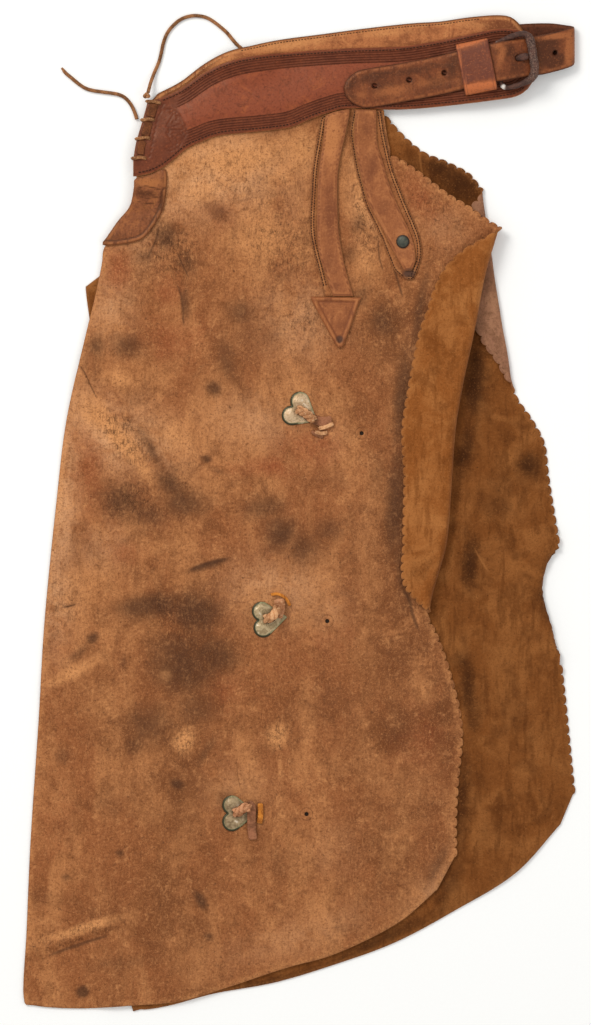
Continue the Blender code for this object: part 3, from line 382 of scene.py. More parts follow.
# Besides real scuffs, the marks at (118, 436) and (144, 470) paint light on the lit side of the ridge that runs
# from (101, 398) to (160, 492).
NEAR_SCUFFS_AND_LIGHT = [
    Mark(236, 160, 130, 44, -8, 0.9), Mark(280, 170, 50, 60, 0, 0.45), Mark(200, 190, 60, 50, 0, 0.6),
    Mark(262, 238, 110, 60, 0, 0.5), Mark(364, 190, 26, 90, 0, 0.75), Mark(368, 262, 40, 40, 0, 0.5),
    Mark(118, 379, 44, 30, 20, 0.65), Mark(118, 436, 84, 24, 52, 1.0), Mark(144, 470, 40, 18, 60, 0.7),
    Mark(176, 436, 70, 50, 30, 0.55), Mark(292, 396, 90, 60, 0, 0.45), Mark(184, 741, 22, 28, 20, 1.0),
    Mark(277, 736, 24, 32, 0, 1.0), Mark(280, 768, 6, 40, 0, 0.7), Mark(166, 675, 15, 15, 0, 0.95),
    Mark(74, 672, 80, 16, -28, 0.75), Mark(262, 600, 70, 70, 0, 0.45), Mark(350, 470, 50, 90, 0, 0.4),
    Mark(84, 928, 100, 12, -17, 0.9), Mark(210, 160, 150, 80, -10, 0.6), Mark(300, 150, 40, 60, 0, 0.7),
    Mark(96, 414, 60, 36, 50, 0.8), Mark(58, 480, 22, 120, 4, 0.5), Mark(130, 215, 30, 26, 0, 0.6), Mark(410, 230, 60, 50, 40, 0.3), Mark(330, 400, 60, 60, 0, 0.4),
    Mark(70, 590, 60, 60, 0, 0.3), Mark(250, 800, 90, 60, 20, 0.3), Mark(400, 840, 110, 46, 110, 0.35),
    Mark(320, 900, 140, 40, -22, 0.3), Mark(420, 690, 60, 26, 70, 0.3), Mark(156, 550, 70, 30, -10, 0.35),
    Mark(60, 800, 40, 90, 0, 0.25), Mark(104, 700, 60, 60, 0, 0.3), Mark(152, 812, 40, 50, 0, 0.25),
]
NEAR_RED = [
    Mark(116, 270, 40, 60, 0, 0.8), Mark(90, 470, 40, 120, -4, 0.7), Mark(176, 340, 80, 60, 0, 0.6),
    Mark(310, 446, 70, 50, 0, 0.7), Mark(126, 552, 50, 30, 0, 0.55), Mark(269, 467, 60, 26, 8, 0.8),
    Mark(232, 470, 40, 20, 0, 0.5), Mark(216, 210, 60, 40, 20, 0.6), Mark(420, 740, 60, 90, 0, 0.5),
    Mark(60, 640, 40, 60, 0, 0.4), Mark(320, 640, 90, 40, 0, 0.4), Mark(170, 290, 50, 40, 0, 0.6),
    Mark(420, 200, 80, 50, 40, 0.5), Mark(230, 690, 60, 60, 0, 0.45), Mark(60, 830, 50, 90, 0, 0.4),
]
NEAR_CRACKLE = [
    Mark(240, 180, 170, 90, 0, 0.5), Mark(280, 240, 90, 130, 0, 0.7), Mark(366, 214, 34, 110, 0, 1.0),
    Mark(122, 436, 90, 44, 50, 1.0), Mark(170, 250, 80, 80, 0, 0.8), Mark(132, 500, 70, 60, 0, 0.7),
    Mark(180, 480, 50, 50, 0, 0.5), Mark(310, 320, 90, 60, 0, 0.7), Mark(176, 620, 80, 60, 0, 0.6),
    Mark(184, 741, 34, 40, 0, 0.9), Mark(277, 736, 34, 40, 0, 0.9), Mark(80, 930, 120, 40, -17, 0.7),
    Mark(60, 600, 60, 120, 0, 0.5), Mark(440, 210, 80, 40, 40, 0.5),
]
# The mark at (104, 430) paints light on the lit side of the ridge from (101, 398) to (160, 492).
NEAR_PALE_AND_LIGHT = [
    Mark(206, 168, 160, 96, -12, 1.15), Mark(140, 236, 60, 90, 30, 0.5), Mark(290, 200, 60, 110, 0, 0.2),
    Mark(60, 500, 44, 260, 4, 0.85), Mark(56, 600, 40, 120, 4, 0.8), Mark(104, 430, 96, 60, 50, 1.15),
    Mark(110, 300, 50, 90, 0, 0.6), Mark(150, 440, 90, 60, 50, 0.7), Mark(300, 320, 90, 90, 0, 0.5),
    Mark(260, 420, 110, 60, 0, 0.5), Mark(330, 440, 40, 60, 0, 0.2), Mark(270, 590, 100, 70, 0, 0.7),
    Mark(300, 935, 180, 40, -18, 0.3), Mark(440, 900, 90, 50, -50, 0.8), Mark(230, 790, 80, 60, 0, 0.3),
    Mark(336, 850, 60, 60, 0, 0.2), Mark(100, 545, 60, 50, 0, 0.5),
    Mark(366, 190, 30, 110, 0, 0.6), Mark(440, 225, 60, 50, 30, 0.3), Mark(330, 610, 50, 60, 0, 0.3),
]
# The marks at (396, 330) and (404, 540), beside the wing flap's free edge, and at (180, 500), on the ridge's
# shaded side, are painted shade.
NEAR_DEEP = [
    Mark(186, 650, 110, 150, 0, 0.9), Mark(176, 780, 90, 150, 0, 0.95), Mark(170, 900, 100, 160, 0, 0.85), Mark(110, 920, 60, 120, 0, 0.4),
    Mark(396, 330, 70, 140, 8, 1.0), Mark(404, 540, 70, 220, 4, 0.95), Mark(400, 640, 100, 160, 0, 1.0),
    Mark(394, 850, 90, 170, 0, 0.85), Mark(430, 800, 60, 160, 0, 0.7),
    Mark(390, 740, 100, 130, 0, 0.95), Mark(440, 720, 60, 160, 0, 1.2), Mark(96, 700, 60, 90, 0, 0.5),
    Mark(352, 570, 50, 60, 0, 0.4), Mark(290, 545, 90, 50, 0, 0.6),
    Mark(270, 710, 110, 60, 0, 0.5), Mark(150, 345, 90, 50, 0, 0.35), Mark(240, 350, 60, 90, 0, 0.4),
    Mark(130, 730, 60, 120, 0, 0.5), Mark(180, 500, 80, 60, 40, 0.4), Mark(250, 830, 80, 60, 0, 0.4),
    Mark(296, 408, 52, 50, 0, 0.5), Mark(268, 617, 56, 52, 0, 0.7), Mark(240, 814, 56, 54, 0, 0.7),
    Mark(372, 300, 40, 60, 0, 0.35), Mark(150, 270, 60, 50, 0, 0.35), Mark(200, 860, 40, 90, 0, 0.4),
]
FAR_CREASES = [
    Crease([Point(421, 148), Point(420, 160), Point(423, 178)], 2.2, -1.0),
    Crease([Point(474, 547), Point(480, 559), Point(489, 573)], 1.4, -0.7),
    Crease([Point(456, 636), Point(480, 640), Point(520, 632), Point(548, 618)], 12, 1.4),
    Crease([Point(470, 700), Point(500, 760), Point(540, 800)], 16, 1.2),
    Crease([Point(470, 420), Point(500, 440), Point(530, 470)], 10, 1.0),
]
# Most of these are painted shadow cast by the near leg on the far leg: the long narrow marks beside the near leg's
# right edge, near across 450 to 476, the two under the near hip's edge at (446, 172) and (462, 184), the two along
# the near hem at (380, 940) and (260, 985), and the one beside the turned-under wing at (540, 600).
FAR_STAINS_AND_SHADE = [
    Mark(529, 464, 34, 30, 20, 0.9), Mark(500, 500, 60, 60, 30, 0.4), Mark(470, 560, 90, 24, 92, 0.75),
    Mark(468, 690, 130, 22, 84, 0.7), Mark(462, 800, 120, 24, 92, 0.7), Mark(466, 450, 90, 22, 100, 0.8),
    Mark(450, 880, 70, 26, 110, 0.6), Mark(476, 380, 110, 30, 98, 0.9), Mark(446, 172, 70, 40, 30, 0.8),
    Mark(462, 184, 60, 50, 30, 0.85), Mark(540, 600, 30, 60, 0, 0.5), Mark(520, 720, 70, 40, 60, 0.35),
    Mark(496, 830, 60, 40, -40, 0.3), Mark(380, 940, 160, 18, -26, 0.7), Mark(260, 985, 160, 14, -16, 0.7),
]
FAR_SCUFFS = [
    Mark(543, 677, 8, 7, 0, 0.9), Mark(512, 640, 60, 60, 0, 0.35), Mark(560, 740, 24, 70, 0, 0.35),
    Mark(404, 136, 30, 18, 40, 0.5), Mark(482, 561, 30, 4, 60, 0.8), Mark(530, 560, 40, 60, 0, 0.25),
    Mark(505, 880, 60, 20, -40, 0.35), Mark(497, 300, 30, 80, 95, 0.5),
]

LINING_STAINS = [
    Mark(520, 30, 50, 30, 40, 1.2), Mark(500, 26, 60, 20, 0, 0.9), Mark(166, 97, 44, 24, -40, 1.4),
    Mark(196, 74, 54, 22, -36, 1.2), Mark(250, 56, 40, 8, -8, 0.4),
    Mark(330, 42, 60, 8, -5, 0.4), Mark(420, 32, 60, 10, -4, 0.45), Mark(180, 90, 40, 10, -40, 0.6),
]
LINING_SCUFFS = [
    Mark(290, 45, 90, 12, -8, 0.8), Mark(380, 34, 80, 10, -5, 0.6), Mark(220, 66, 40, 12, -25, 0.7),
    Mark(470, 26, 40, 10, 0, 0.5), Mark(158, 100, 14, 8, 0, 0.8),
]
TAB_STAINS = [
    Mark(146, 194, 30, 9, 4, 0.9), Mark(118, 238, 36, 14, -8, 0.5), Mark(164, 196, 46, 7, 100, 1.2),
    Mark(154, 224, 36, 6, 120, 1.0),
    Mark(107, 242, 14, 12, 0, 0.9),
]
TAB_SCUFFS = [Mark(150, 183, 34, 12, 0, 1.0), Mark(146, 206, 20, 10, -30, 0.35)]
TAB_CREASES = [
    Crease([Point(136, 190), Point(146, 187), Point(164, 191)], 1.5, -0.5),
    Crease([Point(137, 196), Point(148, 199), Point(163, 196)], 1.3, -0.5),
    Crease([Point(136, 202), Point(150, 204), Point(160, 202)], 1.2, -0.4),
]
STRAP_STAINS = [
    Mark(331, 215, 18, 70, 2, 0.8), Mark(329, 262, 16, 40, 10, 0.6), Mark(366, 130, 16, 14, 0, 0.7),
    Mark(372, 170, 14, 34, 12, 0.8), Mark(384, 208, 16, 24, 20, 0.5), Mark(408.7, 275, 13, 11, 0, 1.5),
    Mark(339, 340, 11, 10, 0, 1.5), Mark(336, 286, 14, 10, 0, 0.6), Mark(340, 150, 8, 40, 4, 0.5),
    Mark(345, 325, 12, 10, 0, 0.5),
]
STRAP_SCUFFS = [
    Mark(331, 140, 18, 50, 4, 1.4), Mark(371, 150, 8, 20, 6, 0.6), Mark(403, 240, 24, 30, 0, 0.7),
    Mark(404, 262, 14, 20, 0, 0.5), Mark(330, 128, 16, 20, 0, 0.8), Mark(337, 312, 22, 20, 0, 0.8),
]
TIP_PATCHES = [Mark(409.4, 273.6, 15, 11, 0, 1.25), Mark(339.6, 339.6, 9, 9, 0, 1.3)]
STAMP_AT = Point(165, 131)
STAMP_RAYS = 7
TUBE_SIDES = 14

BELT_STAINS = [
    Mark(352, 84, 20, 30, 12, 0.7), Mark(372, 78, 40, 14, -10, 0.9), Mark(410, 72, 60, 12, -10, 0.8),
    Mark(436, 84, 30, 20, -10, 0.7), Mark(452, 66, 16, 40, 10, 0.8), Mark(505, 52, 24, 18, 0, 1.0),
    Mark(514, 70, 22, 30, 0, 0.7), Mark(544, 50, 30, 40, 10, 1.5), Mark(552, 62, 34, 20, -10, 1.2),
    Mark(344, 98, 30, 16, 0, 0.8), Mark(390, 88, 60, 30, -10, 0.6), Mark(514, 58, 14, 12, 0, 0.9),
]
BELT_SCUFFS = [
    Mark(392, 92, 50, 14, -10, 0.8), Mark(426, 84, 40, 12, -10, 0.6), Mark(362, 96, 20, 10, -10, 0.6),
    Mark(568.5, 50, 9, 40, 4, 1.5), Mark(556, 37.4, 34, 6, -8, 1.4), Mark(500, 58, 10, 30, 10, 0.9),
    Mark(497, 49, 12, 8, 0, 0.9),
]
BUCKLE_WORN = [Mark(495, 44, 5, 5, 0, 0.95), Mark(502.6, 88.2, 6, 5, 0, 1.0)]


def metres(places):
    """Places on the sheet, with heights, as points in the part's frame."""
    places = np.atleast_2d(np.asarray(places, float))
    return (places * (1, -1, 1) + (-ORIGIN_ACROSS, ORIGIN_DOWN, 0)) * MM


def ease(t):
    """From 0 to 1 with level ends."""
    t = np.clip(t, 0.0, 1.0)
    return t * t * (3 - 2 * t)


def through(points, step):
    """A smooth curve through the points, with a point about every step."""
    points = np.array([tuple(point) for point in points], float)
    rail = np.vstack([2 * points[0] - points[1], points, 2 * points[-1] - points[-2]])
    found = []
    for before, start, end, after in zip(rail, rail[1:], rail[2:], rail[3:]):
        pieces = max(1, round(np.linalg.norm(end - start) / step))
        t = np.arange(pieces)[:, None] / pieces
        found.append(
            0.5 * (2 * start + (end - before) * t
                   + (2 * before - 5 * start + 4 * end - after) * t * t
                   + (3 * start - before - 3 * end + after) * t ** 3)
        )
    return np.vstack(found + [rail[-2:-1]])


def read_off(rows, column, at):
    """A column of a table whose first column rises, read between its rows along a smooth curve."""
    keys = np.array([row[0] for row in rows], float)
    values = np.array([row[column] for row in rows], float)
    at = np.asarray(at, float)
    rises = np.diff(values) / np.diff(keys)
    alike = rises[:-1] * rises[1:] > 0
    total = np.where(alike, rises[:-1] + rises[1:], 1)
    inner = np.where(alike, 2 * rises[:-1] * rises[1:] / total, 0)
    slopes = np.concatenate([rises[:1], inner, rises[-1:]])
    i = np.clip(np.searchsorted(keys, at, side="right") - 1, 0, len(keys) - 2)
    span = keys[i + 1] - keys[i]
    t = (at - keys[i]) / span
    found = (
        values[i] * (1 + 2 * t) * (1 - t) ** 2 + values[i + 1] * t * t * (3 - 2 * t)
        + span * (slopes[i] * t * (1 - t) ** 2 - slopes[i + 1] * t * t * (1 - t))
    )
    found = np.where(at < keys[0], values[0] + (at - keys[0]) * rises[0], found)
    return np.where(at > keys[-1], values[-1] + (at - keys[-1]) * rises[-1], found)


def spaced(curve, count):
    """The curve's places at even distances along it, and its direction at each."""
    curve = np.asarray(curve, float)
    steps = np.linalg.norm(np.diff(curve, axis=0), axis=1)
    lengths = np.concatenate([[0], np.cumsum(steps)])
    at = np.linspace(0, lengths[-1], count)
    k = np.clip(np.searchsorted(lengths, at, side="right") - 1, 0, len(steps) - 1)
    along = (curve[k + 1] - curve[k]) / steps[k][:, None]
    return curve[k] + along * (at - lengths[k])[:, None], along


def length_of(curve):
    return float(np.linalg.norm(np.diff(np.asarray(curve, float), axis=0), axis=1).sum())


def scalloped(points):
    """The curve through these points cut in round scallops, the leather on its right hand side."""
    curve = through(points, 1.0)
    count = round(length_of(curve) / SCALLOP_PITCH)
    places, along = spaced(curve, count * SCALLOP_STEPS + 1)
    phase = (np.arange(len(places)) % SCALLOP_STEPS) / SCALLOP_STEPS
    notch = SCALLOP_DEPTH * (1 - np.sqrt(1 - (2 * phase - 1) ** 2))
    return places + np.stack([-along[:, 1], along[:, 0]], axis=1) * notch[:, None]


def below_yoke(across, down):
    """How far a place lies below the yokes' lower edge; less than 0 under the yokes."""
    return down - read_off(YOKE_LOWER, 1, np.clip(across, 134, 530))


def yoke_rise(across, down):
    """What lifts the yokes: the strap's sewn end under the far yoke, and the thong that passes it."""
    strap = STRAP_END_RISE * ease((across - 436) / 48)
    away = np.hypot(across - 244, down - 50)
    return np.maximum(strap, THONG_RISE * ease((44 - away) / 30))


def far_height(across, down):
    seam = FAR_SEAM_HEIGHT * (1 - ease((below_yoke(across, down) - 8) / 30))
    first, last = FAR_UNDER[0].down, FAR_UNDER[-1].down
    fold = read_off(FAR_UNDER, 1, np.clip(down, first, last))
    window = ease((down - first + 30) / 30) * ease((last + 30 - down) / 30)
    return np.maximum(seam, UNDER_HEIGHT * window * ease((across - fold + 50) / 38))


def near_height(across, down):
    rising = sorted((p.down, p.across) for p in FAR_INNER)
    front = sorted((p.down, p.across) for p in FAR_FRONT)
    inner = np.where(
        down < 287,
        read_off(front, 1, np.minimum(down, 277)),
        read_off(rising, 1, np.maximum(down, 287)),
    )
    on_far = NEAR_ON_FAR * ease((across - inner + 42) / 30)
    seam = NEAR_SEAM_HEIGHT * (1 - ease((below_yoke(across, down) - 8) / 46))
    window = ease((down - 146) / 36) * ease((412 - down) / 66)
    on_flap = NEAR_ON_FAR_FLAP * window * ease((across - 376) / 62)
    return np.maximum(np.maximum(on_far, seam), on_flap)


def folded(rows, radius, edge_height, flat, down):
    """Where the flat leather goes at a fold line: its place across and its height over the panel.
    Beyond the bend the flap lies back on the panel and sinks to edge_height at its edge."""
    size, sign = abs(radius), math.copysign(1, radius)
    within = np.clip(down, rows[0].down, rows[-1].down)
    fold = read_off(rows, 1, within)
    flap = np.maximum(read_off(rows, 2, within), 0.0)
    start = fold - size
    excess = flat - start
    whole = FLAP_WHOLE * size
    turn = math.pi * ease(flap / whole)
    angle = excess / size
    rest = excess - size * turn
    bending = excess <= size * turn
    across = np.where(bending, start + size * np.sin(angle), start + size * np.sin(turn) + rest * np.cos(turn))
    sink = (2 * size - edge_height) * ease(rest / np.maximum(flap, whole)) * ease(flap / whole)
    height = np.where(
        bending, size * (1 - np.cos(angle)), size * (1 - np.cos(turn)) + rest * np.sin(turn) - sink
    )
    level = (excess <= 0) | (down < rows[0].down) | (down > rows[-1].down)
    return np.where(level, flat, across), np.where(level, 0.0, sign * height)


def flat_edge(rows, radius):
    """The free edge of the flap with the leather opened flat."""
    size = abs(radius)
    return [
        Point(
            row.fold + row.flap + size * (math.pi - 2) * float(ease(row.flap / (FLAP_WHOLE * size))),
            row.down,
        )
        for row in rows
    ]


def on_near(flat, down):
    across, height = folded(NEAR_FOLD, NEAR_FOLD_RADIUS, NEAR_FLAP_EDGE_HEIGHT, flat, down)
    return np.stack([across, down, near_height(across, down) + height], axis=1)


def on_far(flat, down):
    hip, hip_height = folded(FAR_FOLD, FAR_FOLD_RADIUS, FAR_FLAP_EDGE_HEIGHT, flat, down)
    wing, wing_height = folded(
        FAR_UNDER, -UNDER_FOLD_RADIUS, 2 * UNDER_FOLD_RADIUS, flat + LEG_LEATHER, down
    )
    wing = np.where(wing_height == 0, flat, wing - LEG_LEATHER)
    across = np.where(down < 400, hip, wing)
    height = np.where(down < 400, hip_height, wing_height)
    return np.stack([across, down, far_height(across, down) + height], axis=1)


def inside(outline, x, y):
    hits = np.zeros(len(x), bool)
    for (ax, ay), (bx, by) in zip(outline, np.roll(outline, -1, axis=0)):
        if ay != by:
            hits ^= ((ay > y) != (by > y)) & (x < (bx - ax) * (y - ay) / (by - ay) + ax)
    return hits


def distance_to(line, x, y, closed=False):
    """How far each place is from a line of points."""
    ends = np.roll(line, -1, axis=0) if closed else line[1:]
    nearest = np.full(len(x), 1e9)
    for (ax, ay), (bx, by) in zip(line, ends):
        dx, dy = bx - ax, by - ay
        t = np.clip(((x - ax) * dx + (y - ay) * dy) / max(dx * dx + dy * dy, 1e-9), 0, 1)
        nearest = np.minimum(nearest, np.hypot(ax + t * dx - x, ay + t * dy - y))
    return nearest


def inset(outline, distance):
    """A closed outline moved inwards."""
    outline = np.asarray(outline, float)
    along = np.roll(outline, -1, axis=0) - np.roll(outline, 1, axis=0)
    along /= np.linalg.norm(along, axis=1)[:, None]
    return outline + np.stack([along[:, 1], -along[:, 0]], axis=1) * distance


def cut(outline, pitch, extra=None):
    """A flat piece cut to an outline: its points, with a staggered grid and any extra points, and
    its triangles."""
    outline = np.asarray(outline, float)
    low, high = outline.min(axis=0), outline.max(axis=0)
    rows = np.arange(low[1] + pitch / 2, high[1], pitch * math.sqrt(0.75))
    columns = np.arange(low[0] + pitch / 2, high[0] + pitch, pitch)
    x, y = np.meshgrid(columns, rows)
    x = (x - pitch / 2 * (np.arange(len(rows)) % 2)[:, None]).ravel()
    y = y.ravel()
    keep = inside(outline, x, y)
    x, y = x[keep], y[keep]
    keep = distance_to(outline, x, y, True) > pitch * 0.45
    grid = np.stack([x[keep], y[keep]], axis=1)
    if extra is not None and len(extra):
        extra = np.asarray(extra, float)
        keep = inside(outline, extra[:, 0], extra[:, 1])
        extra = extra[keep]
        extra = extra[distance_to(outline, extra[:, 0], extra[:, 1], True) > 0.8]
        cells = {(round(px / pitch * 1.4), round(py / pitch * 1.4)) for px, py in extra}
        free = [(round(px / pitch * 1.4), round(py / pitch * 1.4)) not in cells for px, py in grid]
        grid = np.vstack([grid[np.array(free)], extra])
    points = np.vstack([outline, grid])
    flipped = [Vector((px, -py)) for px, py in points.tolist()]
    found = delaunay_2d_cdt(flipped, [], [list(range(len(outline)))], 1, 1e-5)
    flat = np.array([(v.x, -v.y) for v in found[0]])
    return flat, np.array(found[2])


def fold_points(rows, radius, pitch):
    """Points on lines along a fold, close together across it."""
    found = []
    for down in np.arange(rows[0].down + pitch, rows[-1].down, pitch):
        start = float(read_off(rows, 1, down)) - abs(radius)
        bend = abs(radius) * math.pi
        for t in np.linspace(0, 1, max(4, round(bend / FOLD_PITCH))):
            found.append((start + bend * t, down))
    return found


def new_piece(name, points, faces, finishes, slots=None):
    """A mesh object from points in metres; slots gives each face the number of its finish."""
    data = bpy.data.meshes.new(name)
    data.from_pydata([tuple(point) for point in points], [], faces)
    for finish in finishes:
        data.materials.append(finish)
    if slots is not None:
        data.polygons.foreach_set("material_index", np.asarray(slots, np.int32))
    data.shade_smooth()
    made = bpy.data.objects.new(name, data)
    bpy.context.scene.collection.objects.link(made)
    return made


def mark_points(made, **marks):
    """Numbers for each point of a piece, which its finish reads by name."""
    for name, values in marks.items():
        layer = made.data.attributes.new(name, "FLOAT", "POINT")
        layer.data.foreach_set("value", np.asarray(values, np.float32))


def rim_of(triangles):
    """The directed edges that only one triangle has."""
    edges = np.concatenate([triangles[:, [0, 1]], triangles[:, [1, 2]], triangles[:, [2, 0]]])
    size = int(edges.max()) + 1
    codes = edges[:, 0] * size + edges[:, 1]
    turned = edges[:, 1] * size + edges[:, 0]
    return edges[~np.isin(codes, turned)]


def upward(points, triangles):
    """The direction square to a surface at each of its points."""
    corners = points[triangles]
    square = np.cross(corners[:, 1] - corners[:, 0], corners[:, 2] - corners[:, 0])
    found = np.zeros_like(points)
    for k in range(3):
        np.add.at(found, triangles[:, k], square)
    return found / np.maximum(np.linalg.norm(found, axis=1), 1e-12)[:, None]


def wall(name, triangles, places, thickness, under, upper, side, bulge=0.35, **marks):
    """A wall of leather: its under side is the surface given, its upper side lies thickness above
    it, and its cut edge is rounded. The marks are numbers for each point of the surface."""
    low = metres(places)
    normals = upward(low, triangles)
    high = low + normals * thickness * MM
    rim = rim_of(triangles)
    outward = np.zeros_like(low)
    along = low[rim[:, 1]] - low[rim[:, 0]]
    away = np.cross(along, normals[rim[:, 0]])
    np.add.at(outward, rim[:, 0], away)
    np.add.at(outward, rim[:, 1], away)
    ring = np.unique(rim)
    outward = outward[ring] / np.maximum(np.linalg.norm(outward[ring], axis=1), 1e-12)[:, None]
    middle = (low[ring] + high[ring]) / 2 + outward * bulge * MM
    softened = 0.12 * thickness * MM
    low[ring] += normals[ring] * softened
    high[ring] -= normals[ring] * softened
    count = len(low)
    place = np.zeros(count, int)
    place[ring] = np.arange(len(ring)) + 2 * count
    a, b = rim[:, 0], rim[:, 1]
    strips = [
        np.stack([a, b, place[b]], axis=1), np.stack([a, place[b], place[a]], axis=1),
        np.stack([place[a], place[b], b + count], axis=1),
        np.stack([place[a], b + count, a + count], axis=1),
    ]
    faces = np.concatenate([triangles[:, ::-1], triangles + count, *strips])
    slots = np.repeat([0, 1, 2], [len(triangles), len(triangles), 4 * len(rim)])
    made = new_piece(name, np.vstack([low, high, middle]), faces.tolist(), [under, upper, side], slots)
    mark_points(made, **{
        key: np.concatenate([values, values, values[ring]]) for key, values in marks.items()
    })
    return made


def spots(table, x, y):
    """The strongest of the table's soft oval marks at each place."""
    found = np.zeros(len(x))
    for row in table:
        turn = math.radians(row.turn)
        forward = (x - row.across) * math.cos(turn) + (y - row.down) * math.sin(turn)
        side = (y - row.down) * math.cos(turn) - (x - row.across) * math.sin(turn)
        away = (2 * forward / row.long) ** 2 + (2 * side / row.wide) ** 2
        found = np.maximum(found, row.strength * np.exp(-1.2 * away))
    return found


def crease_points(creases):
    """Extra points along both sides of each crease, so that its form is in the mesh."""
    found = []
    for crease in creases:
        line = through(crease.points, CREASE_PITCH)
        places, along = spaced(line, max(3, round(length_of(line) / CREASE_PITCH)))
        side = np.stack([-along[:, 1], along[:, 0]], axis=1)
        for share in (-1.0, -0.5, 0.0, 0.5, 1.0):
            found += (places + side * crease.width * share).tolist()
    return found


def creased(creases, x, y):
    """The height of the creases at each place and how deep in a trough it lies, from 0 to 1."""
    height, trough = np.zeros(len(x)), np.zeros(len(x))
    for crease in creases:
        line = through(crease.points, 4.0)
        away = distance_to(line, x, y) / crease.width
        ends = np.minimum(
            np.hypot(x - line[0, 0], y - line[0, 1]), np.hypot(x - line[-1, 0], y - line[-1, 1])
        )
        fade = ease(ends / (0.3 * length_of(line)) + 0.25)
        form = np.exp(-away ** 2) * fade
        height += form * crease.height
        if crease.height < 0:
            height -= 0.35 * crease.height * np.exp(-(away - 1.7) ** 2) * fade
            trough = np.maximum(trough, np.exp(-(1.6 * away) ** 2) * fade)
    return height, trough


def punched(holes, x, y):
    """How far the punched holes and the rings pressed round them sink the leather."""
    sunk = np.zeros(len(x))
    for hole in holes:
        away = np.hypot(x - hole.across, y - hole.down)
        sunk += PUNCH_DEPTH * (1 - ease((away - PUNCH_RADIUS) / 0.7))
        sunk += PUNCH_RING_DEPTH * np.exp(-((away - PUNCH_RING) / 0.8) ** 2)
    return sunk


def punch_points(holes):
    rings = (0.9, PUNCH_RADIUS, PUNCH_RADIUS + 0.7, 4.2, 5.4, 6.1, 6.9, 7.8)
    return [
        (hole.across + radius * math.cos(turn), hole.down + radius * math.sin(turn))
        for hole in holes for radius in rings for turn in np.linspace(0, 2 * math.pi, 18)[:-1]
    ]


def near_leg():
    """The near leg: grain up, its wing folded over with the suede up."""
    outline = np.vstack([
        [(x, float(read_off(YOKE_LOWER, 1, x)) - SEAM_OVERLAP) for x in range(139, 380, 8)],
        through(NEAR_HIP_TOP + NEAR_HIP[:1], 4)[:-1],
        scalloped(NEAR_HIP + flat_edge(NEAR_FOLD, NEAR_FOLD_RADIUS) + NEAR_WING),
        through(NEAR_HEM + NEAR_INNER + NEAR_FRONT, 4),
    ])
    extra = (
        fold_points(NEAR_FOLD, NEAR_FOLD_RADIUS, 3.2)
        + crease_points(NEAR_CREASES) + punch_points(PUNCHED)
    )
    flat, triangles = cut(outline, LEG_PITCH, extra)
    x, y = flat.T
    places = on_near(x, y)
    panel = 1 - ease((x - read_off(NEAR_FOLD, 1, np.clip(y, 227, 615)) + 16) / 12)
    panel = np.where((y > 222) & (y < 620), panel, 1.0)
    rises, trough = creased(NEAR_CREASES, x, y)
    swell = LEG_SLACK + SWELL * (
        np.sin(x / 47 + 0.6) * np.sin(y / 83 + 1.1) + 0.6 * np.sin(x / 29 - y / 61)
        + 0.4 * np.sin(x / 17 + y / 23)
    )
    free = ease((below_yoke(x, y) - 16) / 40)
    places[:, 2] += np.maximum(swell + rises, 0) * free * panel
    edge = distance_to(outline, x, y, True)
    # Darker next to the near yoke's lower edge: painted shade where the yoke overlaps the leg.
    seam = ease((26 - below_yoke(x, y)) / 34)
    made = wall(
        "chaps_near_leg", triangles, places, LEG_LEATHER, SUEDE_OCHRE, GRAIN, CUT_EDGE,
        stain=spots(NEAR_STAINS_AND_SHADE, x, y), scuff=spots(NEAR_SCUFFS_AND_LIGHT, x, y),
        red=spots(NEAR_RED, x, y), crackle=spots(NEAR_CRACKLE, x, y),
        pale=spots(NEAR_PALE_AND_LIGHT, x, y), deep=spots(NEAR_DEEP, x, y),
        trough=trough, edge=edge, seam=seam,
    )
    sink = np.zeros(len(made.data.vertices))
    sink[len(x): 2 * len(x)] = punched(PUNCHED, x, y)
    for vertex, depth in zip(made.data.vertices, sink.tolist()):
        if depth > 0.01:
            vertex.co.z -= depth * MM
    # The hole mark paints the punched holes near black: painted shade in holes that are sunk, not cut.
    mark_points(made, hole=np.clip(sink / PUNCH_DEPTH, 0, 1))
    return made


def far_leg():
    """The far leg: suede up, its hip folded over with the grain up and its lower wing under."""
    outline = np.vstack([
        [(x, float(read_off(YOKE_LOWER, 1, x)) - SEAM_OVERLAP) for x in range(154, 380, 8)],
        scalloped(FAR_HIP + flat_edge(FAR_FOLD, FAR_FOLD_RADIUS) + FAR_WING),
        through(flat_edge(FAR_UNDER, UNDER_FOLD_RADIUS), 5),
        scalloped(FAR_LOWER_WING),
        through(FAR_HEM + FAR_INNER, 6),
        through(FAR_FRONT, 6),
    ])
    extra = (
        fold_points(FAR_FOLD, FAR_FOLD_RADIUS, 3.2) + fold_points(FAR_UNDER, UNDER_FOLD_RADIUS, 4)
        + crease_points(FAR_CREASES)
    )
    flat, triangles = cut(outline, LEG_PITCH + 0.6, extra)
    x, y = flat.T
    places = on_far(x, y)
    rises, trough = creased(FAR_CREASES, x, y)
    shown = ease((x - 400) / 60)
    wing = 0.5 + 0.5 * np.sin(x / 31 - y / 57)
    places[:, 2] += np.maximum(FAR_SWELL * wing * ease((y - 640) / 60) + rises, 0) * shown
    return wall(
        "chaps_far_leg", triangles, places, LEG_LEATHER, DUSTY_GRAIN, SUEDE_BROWN, CUT_EDGE,
        stain=spots(FAR_STAINS_AND_SHADE, x, y), scuff=spots(FAR_SCUFFS, x, y),
        trough=trough, edge=distance_to(outline, x, y, True),
        **plain_marks(len(x), "stain", "scuff", "trough"),
    )


DULL = 0.3
WARM = (1.0, 0.8, 0.6, 1)


